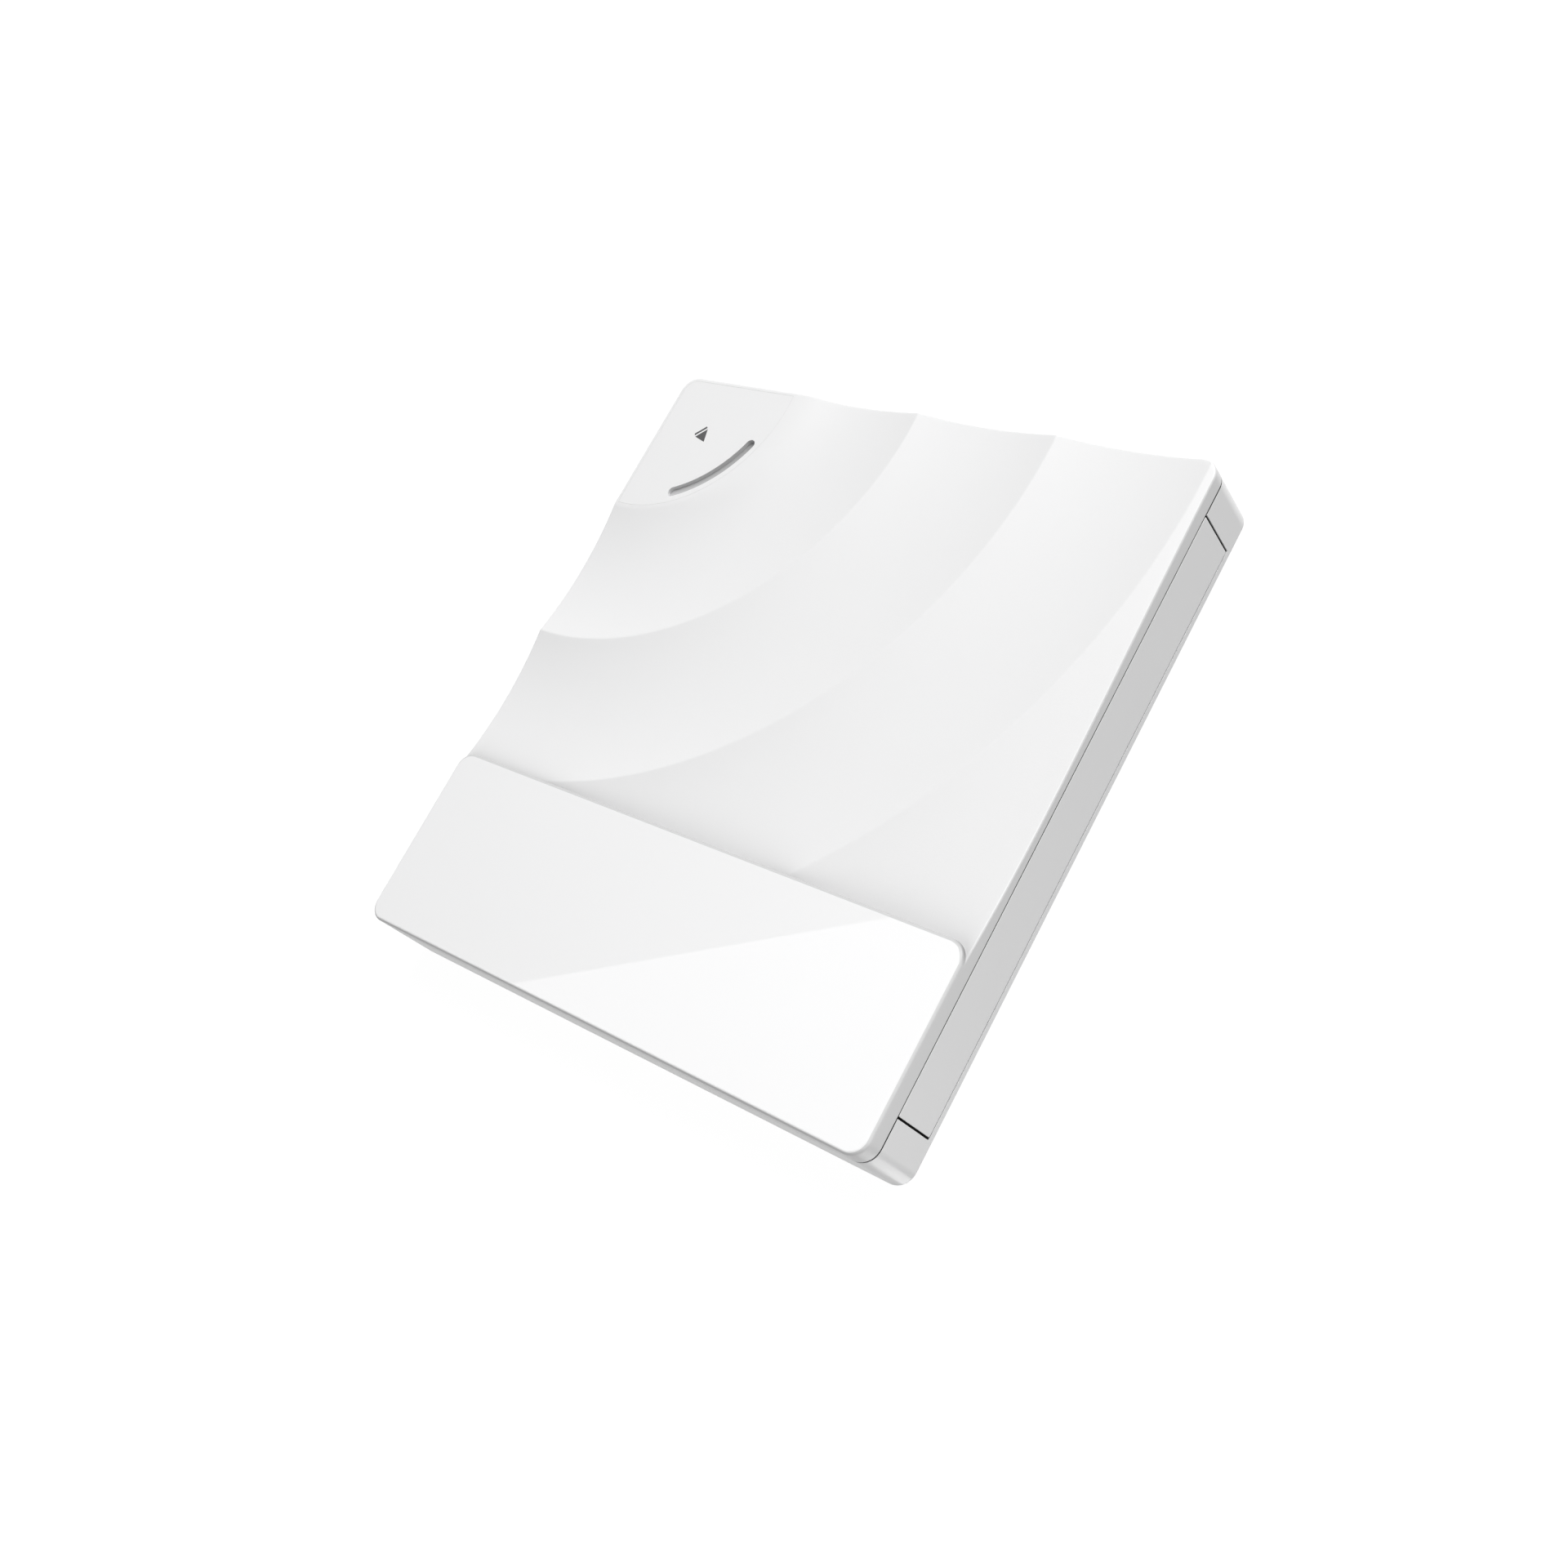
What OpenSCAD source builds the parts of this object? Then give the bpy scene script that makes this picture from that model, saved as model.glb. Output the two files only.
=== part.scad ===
// External slim disc drive with a sliding tray and a rippled top cover.
// Millimetres. The tray front faces -Y, +Z is up, the origin is on the table under the case middle.

/* [Case] */
// Width of case front left beside each end of the tray front
side_margin = 10.3; // [9.8:0.1:16]
// Room behind the drive for the boards
rear_room = 15.6; // [14:0.2:24]
// Radius of the upright case corners
corner_r = 4; // [3:0.5:8]
// Thickness of the case side walls
wall = 1.8; // [1.5:0.1:2.2]
// Thickness of the case floor
floor_t = 1.6; // [1.2:0.1:2.4]
// Bevel along the bottom edge of the case
base_bevel = 0.3; // [0.2:0.1:1]
// Height of the top cover from the parting line to its flat pad
cover_h = 4.3; // [4:0.1:6]
// Open width of the parting line
seam_gap = 0.25; // [0.15:0.05:0.4]
// How far the feet stand out under the floor
foot_proud = 0.8; // [0.5:0.1:2]
// Radius of each round foot
foot_r = 5; // [3:0.5:6]

/* [Ripples] */
// Radius of the first ridge, which bounds the flat corner pad
ring_r = 32; // [30:0.5:34]
// Distance from one ridge to the next
ring_pitch = 36.1; // [32:0.1:40]
// Depth of each hollow below its ridges
ring_depth = 1.65; // [0.8:0.05:1.8]
// Drop of each ridge below the one before
ring_fall = 0.1; // [0.02:0.02:0.14]

/* [Side panel] */
// Width of the raised glossy panel
panel_w = 43; // [36:0.2:56]
// Height of the panel above the flat pad
panel_rise = 0.7; // [0.4:0.1:1.2]
// Thickness of the panel
panel_t = 1.2; // [0.8:0.1:1.6]
// Plan radius of the inner panel corners
panel_r = 4; // [2:0.5:6]
// Bevel along the top edge of the panel
panel_bevel = 0.35; // [0.1:0.05:0.5]

/* [Eject key] */
// Width of the cover rim left outside the key
key_rim = 1; // [0.8:0.1:1.4]
// Gap all round the key
key_gap = 0.12; // [0.08:0.02:0.25]
// Thickness of the key plate
key_t = 2.2; // [1.8:0.1:2.5]
// How far the key goes down
key_travel = 0.5; // [0.3:0.1:0.6]
// Distance from the first ridge in to the middle of the curved slot
slot_inset = 2.7; // [2.4:0.1:5]
// Width of the curved slot
slot_w = 2.1; // [1.2:0.1:2.6]
// Angle between the end centres of the curved slot
slot_span = 43; // [30:1:46]
// Depth of the curved slot down to its light bar
slot_depth = 1.2; // [0.5:0.1:1.5]

/* [Drive] */
// Height of the drive from the pan underside to the lid top
drive_h = 12.7; // [12.5:0.1:15]
// Thickness of the pan and lid sheet
sheet_t = 0.6; // [0.5:0.05:0.8]
// Thickness of the tray front
bezel_t = 2; // [1.6:0.1:3]
// Gap round the tray front
bezel_gap = 0.3; // [0.2:0.05:0.5]
// Least width of the tray rim beside the disc recess
tray_lip = 0.8; // [0.6:0.1:3]
// Width of the tray rim in front of the disc recess
front_rim = 3.7; // [3:0.1:6]
// Thickness of the rail body
rail_t = 1.5; // [1:0.1:2.5]
// Height of the rail body
rail_h = 3; // [2.4:0.1:3.4]
// Length of each telescopic rail
rail_len = 112; // [90:1:128]

/* [Disc unit] */
// Disc diameter the tray is made for
disc_d = 120; // [112:0.5:130]
// Disc thickness at the hub
disc_t = 1.2; // [1:0.05:1.5]
// Radius of the clamp hub that enters the disc hole
hub_r = 7.25; // [6.5:0.05:7.6]
// Radius of the turntable
turntable_r = 14; // [12.5:0.5:14.5]
// Radius of the rotor cup
rotor_r = 11; // [9:0.5:12]
// Radius of the spindle shaft
shaft_r = 1; // [0.7:0.1:1.5]
// Radius of the guide rods
rod_r = 1; // [0.7:0.05:1.15]
// Distance of each guide rod from the sled centre line
rod_off = 15; // [14.5:0.1:15.5]
// Distance from the spindle to the lens with the sled fully in
lens_in = 23; // [23:0.1:26]
// Radius of the objective lens
lens_r = 2.1; // [1.5:0.1:2.6]
// Turn length of the lead screw thread
screw_pitch = 3; // [2:0.5:4]

/* [Hidden] */
$fn = 48;
cut = 0.5;
fit = 0.02;
run = 0.05;
air = 0.3;

recess_r = disc_d / 2 + 0.4;
tray_side = recess_r + tray_lip;
tongue_d = 1.1;
rail_in = tray_side + 0.2;
rail_out = rail_in + rail_t;
guide_in = rail_out + 0.2;
guide_t = 1.5;
pan_wall = 0.8;
pan_half = guide_in + guide_t + pan_wall;
bezel_w = 2 * (rail_out + tongue_d + 0.2);
case_w = bezel_w + 2 * side_margin;
disc_over = 4.5;
tray_len = front_rim + recess_r + disc_d / 2 - disc_over;
rail_lead = 6.6;
slide_len = max(tray_len, rail_lead + rail_len + 1);
pan_room = 8;
case_d = bezel_t + slide_len + pan_room + rear_room;

base_h = floor_t + drive_h - 0.1;
z_base = foot_proud;
z_floor = z_base + floor_t;
z_seam = z_base + base_h;
z_cover = z_seam + seam_gap;
z_ceil = z_seam + 1.2;
z_flat = z_seam + cover_h;
z_top = z_flat + panel_rise;
z_shelf = z_top - panel_t;
panel_x = panel_w - case_w / 2;
back_y = case_d / 2;
front_y = -case_d / 2;
inner_x = case_w / 2 - wall;
inner_y = case_d / 2 - wall;
ring_c = [case_w / 2 - 4.5, case_d / 2 - 3];
slot_r = ring_r - slot_inset;
slot_mid = 227;

bezel_back = front_y + bezel_t;
pan_front = bezel_back + 0.4;
tray_back = bezel_back + tray_len;
slide_back = bezel_back + slide_len;
pan_back = slide_back + pan_room;
stop_y = pan_back - pan_wall;
lid_screw_at = [pan_half - 4.4, stop_y - 2.3];
spin_y = bezel_back + front_rim + recess_r;
z_pan = z_floor + sheet_t;
z_lid = z_floor + drive_h - sheet_t;
plate_t = 0.4;
z_plate = z_pan + 0.6;
z_tray = z_plate + plate_t;
z_rim = z_lid - 2.5;
z_disc = z_rim - disc_t;
z_recess = z_rim - 2.2;
z_roof = z_recess - 1.6;
cavity_x = tray_side - 3;
cavity_back = tray_back - 2.5;
cavity_front = bezel_back + 4;
unit_turn = 225;

rail_front = bezel_back + rail_lead;
z_rail = z_tray + 3.5;
tongue_h = rail_h * 0.4;

frame_t = 0.8;
frame_back = 20.5;
frame_edge = 6;
frame_nose = 16;
z_frame = z_tray + 0.7;
z_screw = (z_frame + frame_t + z_roof) / 2;
z_axis = z_screw - 0.45;
shoe = 3.5;
sled_out = (cavity_x - 0.9) * sqrt(2) - 23;
sled_z = z_frame + frame_t + air;
screw_off = rod_off + 5.5;
screw_r = 1.15;
screw_ear = 1.5;
follower_len = 5.2;
damper_in = 4;
damper_at = [[damper_in - frame_back, -rod_off], [damper_in - frame_back, rod_off],
    [sled_out + frame_nose - 3.5, 0]];
latch_in = 15;
latch_reach = 5.9;
latch_hook = 1.3;
latch_side = 7.2;
latch_at = [latch_side - cavity_x, tray_back - latch_in];
latch_post_at = [latch_at[0] + 3, tray_back + 3.2];
latch_turn = 6;

boss_at = [[-1, -58], [1, -58], [-1, 30], [1, 30]];
boss_x = inner_x - 2.6;
boss_r = 3;
z_boss = z_seam - 1.4;
case_screw_r = 1.1;
z_head = z_base + 2.4;

z_board = z_floor + 2.6;
board_t = 1.2;
board_front = pan_back + 1.6;
board_back = inner_y - 0.5;
z_on_board = z_board + board_t;
sata_x = -27;
sata_w = 30;
z_key_board = z_seam - 4;
key_board_t = 1;
key_board_w = 24;
key_board_x = [ring_c[0] - 0.5 - key_board_w, ring_c[0] - 0.5];
switch_at = [ring_c[0] - 9.5, (pan_back + inner_y) / 2];
z_key = z_flat - key_t;
z_switch = z_key_board + key_board_t + 2.6;
board_side = 8;
board_apart = 5.5;
board_x = [sata_x - sata_w / 2 - board_side, key_board_x[0] - board_apart];
board_pin_x = [board_x[0] + board_side / 2, board_x[1] - 10];
board_pin_y = (board_front + board_back) / 2;
key_pin_x = [key_board_x[0] + 4, key_board_x[1] - 4];
key_pin_y = switch_at[1] + 3;
board_pin_r = 0.9;
main_len = 31.5;
main_edge = 4;
main_gap = 4.5;
main_y = [tray_back - 4.5 - main_len, tray_back - 4.5];
main_x = [frame_back * sqrt(2) + main_gap - (main_y[0] - spin_y), cavity_x - 3.2];
main_pins = [[main_x[0] + main_edge, main_y[1] - main_edge], [main_x[1] - main_edge, main_y[1] - main_edge],
    [main_x[1] - main_edge, main_y[0] + main_edge]];
chip_w = 12;
z_main = z_tray + 0.6;
main_t = 0.8;
pivot_r = 1.2;
claw_turn = [0, 120, 240];
z_claw = z_disc + disc_t;

// Shared shapes

module round_rect(w, d, r) {
    square([w - 2 * r, d], center = true);
    square([w, d - 2 * r], center = true);
    for (x = [-1, 1], y = [-1, 1])
        translate([x * (w / 2 - r), y * (d / 2 - r)])
            circle(r = r);
}

module case_outline(inset = 0) {
    round_rect(case_w - 2 * inset, case_d - 2 * inset, corner_r - inset);
}

module box(x0, x1, y0, y1, z0, z1) {
    translate([x0, y0, z0])
        cube([x1 - x0, y1 - y0, z1 - z0]);
}

module post(at, r, z0, z1) {
    translate([at[0], at[1], z0])
        cylinder(r = r, h = z1 - z0);
}

// Case post that carries a circuit board on a shoulder and a locating pin
module board_post(at, z_under, z_over) {
    post(at, 2, z_floor - cut, z_under);
    post(at, board_pin_r, z_under - cut, z_over + 0.8);
}

module disc_unit() {
    translate([0, spin_y, 0])
        rotate(unit_turn)
            children();
}

module along_sled(r0, r1, off, r, z = z_axis) {
    translate([r0, off, z])
        rotate([0, 90, 0])
            cylinder(r = r, h = r1 - r0);
}

// Solid case block with a bevel along its bottom edge
module bevel_block(z0, z1, b) {
    r = corner_r;
    corner = [[0, z0], [r - b, z0], [r, z0 + b], [r, z1], [0, z1]];
    for (x = [0, 1], y = [0, 1])
        mirror([x, 0, 0])
            mirror([0, y, 0])
                translate([case_w / 2 - r, case_d / 2 - r, 0])
                    rotate_extrude(angle = 90)
                        polygon(corner);
    bevel_prism(case_d, case_w - 2 * r, z0, z1, b);
    rotate(90)
        bevel_prism(case_w, case_d - 2 * r, z0, z1, b);
}

module bevel_prism(across, length, z0, z1, b) {
    h = across / 2;
    translate([-length / 2, 0, 0])
        rotate([90, 0, 90])
            linear_extrude(length)
                polygon([[-h + b, z0], [h - b, z0], [h, z0 + b], [h, z1], [-h, z1], [-h, z0 + b]]);
}

// Case

module bottom_case() {
    color("gainsboro")
        difference() {
            union() {
                difference() {
                    bevel_block(z_base, z_seam, base_bevel);
                    translate([0, 0, z_floor])
                        linear_extrude(base_h)
                            case_outline(wall);
                }
                for (p = boss_at)
                    post([p[0] * boss_x, p[1]], boss_r, z_floor - cut, z_boss);
                for (x = board_pin_x)
                    board_post([x, board_pin_y], z_board, z_on_board);
                for (x = key_pin_x)
                    board_post([x, key_pin_y], z_key_board, z_key_board + key_board_t);
            }
            // tray opening in the front wall
            box(-bezel_w / 2 - bezel_gap, bezel_w / 2 + bezel_gap, front_y - cut,
                front_y + wall + cut, z_floor, z_seam + cut);
            // step for the cover tongue
            translate([0, 0, z_seam - 1.5])
                linear_extrude(3)
                    difference() {
                        case_outline(0.9);
                        case_outline(wall + 0.4);
                    }
            // cable socket opening in the back wall
            translate([0, back_y + cut, z_on_board + 1.65])
                rotate([90, 0, 0])
                    linear_extrude(wall + 2 * cut)
                        round_rect(9.7, 4, 1.9);
            for (p = boss_at) {
                post([p[0] * boss_x, p[1]], case_screw_r + 0.15, z_base - cut, z_boss + cut);
                post([p[0] * boss_x, p[1]], 2.5, z_base - cut, z_head);
            }
            // shallow field for a rating label
            box(-32, 32, -18, 18, z_base - cut, z_base + 0.2);
            for (x = [-1, 1], y = [-1, 1])
                post([x * (case_w / 2 - 14), y * (case_d / 2 - 12)], foot_r + 0.1, z_base - cut,
                    z_base + 0.5);
        }
}

module ripples() {
    reach = norm([ring_pitch, ring_fall]);
    bend = (reach * reach / 4 + ring_depth * ring_depth) / (2 * ring_depth);
    translate([ring_c[0], ring_c[1], 0])
        rotate([0, 0, 150])
            rotate_extrude(angle = 150)
                for (n = [0 : 4])
                    ripple_profile(n, reach, bend);
}

module ripple_profile(n, reach, bend) {
    r0 = ring_r + n * ring_pitch;
    mid_r = r0 + ring_pitch / 2 + ring_fall / reach * (bend - ring_depth);
    mid_z = z_flat - (n + 0.5) * ring_fall + ring_pitch / reach * (bend - ring_depth);
    intersection() {
        translate([mid_r, mid_z])
            circle(r = bend, $fn = 720);
        translate([r0, z_ceil])
            square([ring_pitch, cover_h + 4]);
    }
}

module panel_outline(inset = 0) {
    intersection() {
        case_outline(inset);
        translate([panel_x - 100 - inset, 0])
            round_rect(200, case_d - 2 * inset, panel_r);
    }
}

module key_outline(gap) {
    intersection() {
        case_outline(key_rim + gap);
        translate(ring_c)
            circle(r = ring_r - gap, $fn = 120);
    }
}

module top_cover() {
    color("whitesmoke")
        difference() {
            union() {
                difference() {
                    translate([0, 0, z_cover])
                        linear_extrude(z_flat - z_cover)
                            case_outline();
                    ripples();
                }
                translate([0, 0, z_cover])
                    linear_extrude(z_shelf - z_cover)
                        panel_outline();
                // tongue that drops inside the lower shell
                translate([0, 0, z_seam - 1.2])
                    linear_extrude(z_ceil - z_seam + 1.4)
                        difference() {
                            case_outline(1.05);
                            case_outline(wall);
                        }
            }
            translate([0, 0, z_shelf])
                linear_extrude(5)
                    panel_outline();
            difference() {
                translate([0, 0, z_cover - cut])
                    linear_extrude(z_ceil - z_cover + cut)
                        case_outline(wall);
                for (p = boss_at)
                    post([p[0] * boss_x, p[1]], boss_r, z_cover - 2, z_ceil + 1);
            }
            box(-bezel_w / 2 - 2, bezel_w / 2 + 2, front_y + 0.5, front_y + wall + 1, z_seam - 3, z_cover);
            translate([0, 0, z_key - key_travel - 0.1])
                linear_extrude(5)
                    key_outline(0);
            translate([0, 0, z_ceil - cut])
                linear_extrude(5)
                    intersection() {
                        key_outline(0);
                        case_outline(wall);
                    }
            // pocket for the key catch
            translate([ring_c[0], ring_c[1], z_ceil - cut])
                rotate(slot_mid)
                    box(ring_r - 2, ring_r + 2.4, -5, 5, 0, cut + 1.3);
            for (p = boss_at)
                post([p[0] * boss_x, p[1]], case_screw_r + fit, z_boss - cut, z_ceil + 0.6);
        }
    color("whitesmoke")
        for (p = boss_at)
            difference() {
                post([p[0] * boss_x, p[1]], boss_r, z_boss, z_ceil + 0.2);
                post([p[0] * boss_x, p[1]], case_screw_r + fit, z_boss - cut, z_ceil + 0.6);
            }
}

module gloss_panel() {
    color("white")
        hull() {
            translate([0, 0, z_shelf])
                linear_extrude(panel_t - panel_bevel)
                    panel_outline();
            translate([0, 0, z_top - 0.05])
                linear_extrude(0.05)
                    panel_outline(panel_bevel);
        }
}

module rubber_feet() {
    color("dimgray")
        for (x = [-1, 1], y = [-1, 1])
            post([x * (case_w / 2 - 14), y * (case_d / 2 - 12)], foot_r, 0, z_base + 0.5);
}

module case_screws() {
    color("silver")
        for (p = boss_at)
            difference() {
                union() {
                    post([p[0] * boss_x, p[1]], case_screw_r, z_head - 0.2, z_ceil + 0.4);
                    post([p[0] * boss_x, p[1]], 2.2, z_head - 1.3, z_head);
                }
                for (a = [0, 90])
                    translate([p[0] * boss_x, p[1], z_head - 1.3])
                        rotate(a)
                            cube([2.4, 0.5, 1.2], center = true);
            }
}

// Boards in the case

module bridge_board() {
    color("darkgreen")
        difference() {
            box(board_x[0], board_x[1], board_front, board_back, z_board, z_on_board);
            for (x = board_pin_x)
                post([x, board_pin_y], board_pin_r + fit, z_board - cut, z_on_board + cut);
        }
}

module bridge_chips() {
    color("black") {
        box(13, 20, board_front + 2, board_front + 9, z_on_board, z_on_board + 0.9);
        box(22.5, 26, board_front + 3, board_front + 6, z_on_board, z_on_board + 1);
        box(7.5, 11, board_front + 1.5, board_front + 4, z_on_board, z_on_board + 1.2);
    }
}

module usb_shell() {
    color("silver")
        translate([0, back_y - 0.5, z_on_board + 1.65])
            rotate([90, 0, 0]) {
                linear_extrude(8)
                    difference() {
                        round_rect(9, 3.3, 1.6);
                        round_rect(8.4, 2.6, 1.25);
                    }
                translate([0, 0, 7.6])
                    linear_extrude(0.4)
                        round_rect(9, 3.3, 1.6);
            }
}

module usb_tongue() {
    color("black")
        box(-3.35, 3.35, back_y - 8.1, back_y - 1.6, z_on_board + 1.3, z_on_board + 2);
}

module sata_socket() {
    color("black")
        difference() {
            box(sata_x - sata_w / 2, sata_x + sata_w / 2, board_front + 1.1, board_front + 8, z_on_board,
                z_on_board + 4.2);
            box(sata_x - 13.3, sata_x + 13.3, board_front, board_front + 5.4, z_on_board + 1.4,
                z_on_board + 3);
        }
}

module key_board() {
    color("darkgreen")
        difference() {
            box(key_board_x[0], key_board_x[1], board_front, board_back, z_key_board,
                z_key_board + key_board_t);
            for (x = key_pin_x)
                post([x, key_pin_y], board_pin_r + fit, z_key_board - cut, z_key_board + key_board_t + cut);
        }
}

module tact_switch() {
    color("dimgray")
        difference() {
            box(switch_at[0] - 3, switch_at[0] + 3, switch_at[1] - 3, switch_at[1] + 3,
                z_key_board + key_board_t, z_switch);
            post(switch_at, 1.6 + run, z_switch - 1.2, z_switch + cut);
        }
}

module status_led() {
    color("white")
        box(key_board_x[0] + 1, key_board_x[0] + 3, board_front + 0.4, board_front + 1.6,
            z_key_board + key_board_t, z_key_board + key_board_t + 0.8);
}

module key_ribbon() {
    low = z_on_board;
    high = z_key_board + key_board_t;
    bend_x = (board_x[1] + key_board_x[0]) / 2;
    t = 0.15;
    color("lightgray")
        translate([0, board_back - 1, 0])
            rotate([90, 0, 0])
                linear_extrude(5)
                    polygon([
                        [board_x[1] - 5, low], [bend_x + t, low], [bend_x + t, high],
                            [key_board_x[0] + 3, high],
                        [key_board_x[0] + 3, high + t], [bend_x, high + t], [bend_x, low + t],
                            [board_x[1] - 5, low + t]
                    ]);
}

// Eject key

module curved_slot(z0, z1, half) {
    translate([ring_c[0], ring_c[1], z0]) {
        rotate(slot_mid - slot_span / 2)
            rotate_extrude(angle = slot_span, $fn = 120)
                translate([slot_r - half, 0])
                    square([2 * half, z1 - z0]);
        for (s = [-1, 1])
            rotate(slot_mid + s * slot_span / 2)
                translate([slot_r, 0, 0])
                    cylinder(r = half, h = z1 - z0);
    }
}

module eject_key() {
    color("whitesmoke")
        difference() {
            union() {
                translate([0, 0, z_key])
                    linear_extrude(key_t)
                        key_outline(key_gap);
                post(switch_at, 2, z_switch + 0.7, z_key + cut);
                // catch under the cover
                translate([ring_c[0], ring_c[1], 0])
                    rotate(slot_mid) {
                        box(ring_r - 1.5, ring_r - 0.7, -4.5, 4.5, z_ceil + 0.6, z_key + 0.3);
                        box(ring_r - 1.5, ring_r + 1.8, -4.5, 4.5, z_ceil + 0.6, min(z_key, z_ceil + 1.2));
                    }
            }
            curved_slot(z_key - cut, z_flat + cut, slot_w / 2);
        }
}

module light_bar() {
    color("lightgray")
        curved_slot(z_key, z_flat - slot_depth, slot_w / 2 - fit);
}

module switch_plunger() {
    color("black")
        post(switch_at, 1.6, z_switch - 0.6, z_switch + 0.7);
}

// Drive shell

module drive_pan() {
    color("silver")
        difference() {
            union() {
                box(-pan_half, pan_half, pan_front, pan_back, z_floor, z_pan);
                for (x = [-1, 1]) {
                    translate([x * (pan_half - pan_wall / 2), (pan_front + pan_back) / 2,
                        (z_floor + z_lid) / 2])
                        cube([pan_wall, pan_back - pan_front, z_lid - z_floor], center = true);
                    post([x * lid_screw_at[0], lid_screw_at[1]], 2.2, z_floor, z_lid);
                    post([sata_x + x * 14, stop_y - 3.2], 1.5, z_floor, z_on_board - 1);
                }
                box(-pan_half, pan_half, stop_y, pan_back, z_floor, z_lid);
            }
            box(sata_x - sata_w / 2 - air, sata_x + sata_w / 2 + air, stop_y - cut, pan_back + cut,
                z_on_board - air, z_on_board + 4.4);
            for (x = [-1, 1])
                post([x * lid_screw_at[0], lid_screw_at[1]], 0.8 + fit, z_lid - 5, z_lid + cut);
        }
}

module drive_lid() {
    color("silver")
        difference() {
            union() {
                box(-pan_half, pan_half, pan_front, pan_back, z_lid, z_lid + sheet_t);
                post([0, spin_y], 46, z_lid, z_lid + sheet_t + 0.3);
            }
            post([0, spin_y], 43, z_lid + sheet_t, z_lid + 2);
            for (x = [-1, 1])
                post([x * lid_screw_at[0], lid_screw_at[1]], 0.8 + fit, z_lid - cut, z_lid + 2);
        }
}

module lid_screws() {
    color("dimgray")
        for (x = [-1, 1]) {
            post([x * lid_screw_at[0], lid_screw_at[1]], 0.8, z_lid - 4.5, z_lid + sheet_t + 0.1);
            post([x * lid_screw_at[0], lid_screw_at[1]], 1.6, z_lid + sheet_t, z_lid + sheet_t + 0.4);
        }
}

module right_guide() {
    color("dimgray")
        difference() {
            box(guide_in, guide_in + guide_t, rail_front - 2, slide_back, z_pan, z_rail + rail_h);
            box(guide_in - cut, rail_out + tongue_d + air, rail_front - 3, slide_back + cut,
                z_rail - tongue_h / 2 - 0.2, z_rail + tongue_h / 2 + 0.2);
        }
}

module left_guide() {
    mirror([1, 0, 0])
        right_guide();
}

module right_rail() {
    color("silver") {
        box(rail_in, rail_out, rail_front, rail_front + rail_len, z_rail - rail_h / 2, z_rail + rail_h / 2);
        box(rail_in - tongue_d, rail_out + tongue_d, rail_front, rail_front + rail_len,
            z_rail - tongue_h / 2, z_rail + tongue_h / 2);
    }
}

module left_rail() {
    mirror([1, 0, 0])
        right_rail();
}

module latch_post() {
    color("gray")
        post(latch_post_at, 1.1, z_pan, z_pan + 4.5);
}

module interface_board() {
    color("darkgreen")
        box(sata_x - 17, sata_x + 17, tray_back + 1.3, stop_y - 0.2, z_on_board - 1, z_on_board);
}

module sata_plug() {
    color("black") {
        box(sata_x - sata_w / 2, sata_x + sata_w / 2, tray_back + 2.6, board_front + 0.9, z_on_board,
            z_on_board + 4);
        box(sata_x - 13, sata_x + 13, board_front + 0.5, board_front + 5, z_on_board + 1.6, z_on_board + 2.8);
    }
}

module drive_flex() {
    t = 0.12;
    x0 = sata_x - 10;
    x1 = sata_x + 10;
    color("orange") {
        box(x0, x1, spin_y, tray_back + 1.1, z_pan, z_pan + t);
        box(x0, x1, spin_y - t, spin_y, z_pan, z_pan + 0.3 + t);
        box(x0, x1, spin_y, tray_back - 9, z_pan + 0.3, z_pan + 0.3 + t);
        box(x0, x1, tray_back + 1.1 - t, tray_back + 1.1, z_pan, z_on_board + t);
        box(x0, x1, tray_back + 1.1 - t, tray_back + 2.4, z_on_board, z_on_board + t);
    }
}

module kick_pin() {
    color("gray")
        translate([20, 0, z_roof - 1.2])
            rotate([-90, 0, 0]) {
                translate([0, 0, tray_back + air])
                    cylinder(r = 1.1, h = 3);
                translate([0, 0, tray_back + 2.6])
                    cylinder(r = 2.2, h = stop_y - tray_back - 2.6);
            }
}

// Tray

module unit_window() {
    translate([0, 0, z_roof - cut])
        linear_extrude(5) {
            circle(r = turntable_r + 1);
            translate([0, -13])
                square([sled_out + 9.5, 26]);
        }
}

module tray() {
    color("dimgray") {
        difference() {
            union() {
                box(-tray_side, tray_side, bezel_back, tray_back, z_tray, z_rim);
                box(-tray_side, tray_side, bezel_back, bezel_back + 2, z_tray, z_lid - 0.8);
            }
            post([0, spin_y], recess_r, z_recess, z_lid);
            post([0, spin_y], disc_d / 3 + 0.3, z_recess - 0.5, z_lid);
            box(-cavity_x, cavity_x, cavity_front, cavity_back, z_tray - cut, z_roof);
            disc_unit()
                unit_window();
            for (x = [0, 1])
                mirror([x, 0, 0])
                    box(rail_in - tongue_d - air, tray_side + cut, rail_front - 1, tray_back + cut,
                        z_rail - tongue_h / 2 - 0.2, z_rail + tongue_h / 2 + 0.2);
            box(latch_at[0] - 5.5, latch_at[0] + 1.5, cavity_back - cut, tray_back + cut, z_tray - cut,
                z_roof);
        }
        post(latch_at, pivot_r, z_frame, z_roof + cut);
        post(latch_at, 2.2, z_frame + 2.3, z_roof + cut);
        for (p = main_pins) {
            post(p, 1.8, z_main + main_t, z_roof + cut);
            post(p, board_pin_r, z_main - 0.1, z_roof);
        }
        for (p = damper_at)
            disc_unit()
                difference() {
                    post(p, 2.2, z_frame + frame_t + 0.6, z_roof + cut);
                    post(p, 0.8 + fit, z_frame, z_roof - 0.3);
                }
    }
}

module tray_bezel() {
    color("gainsboro")
        box(-bezel_w / 2, bezel_w / 2, front_y, bezel_back, z_floor + 0.15, z_seam - 0.15);
}

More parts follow.
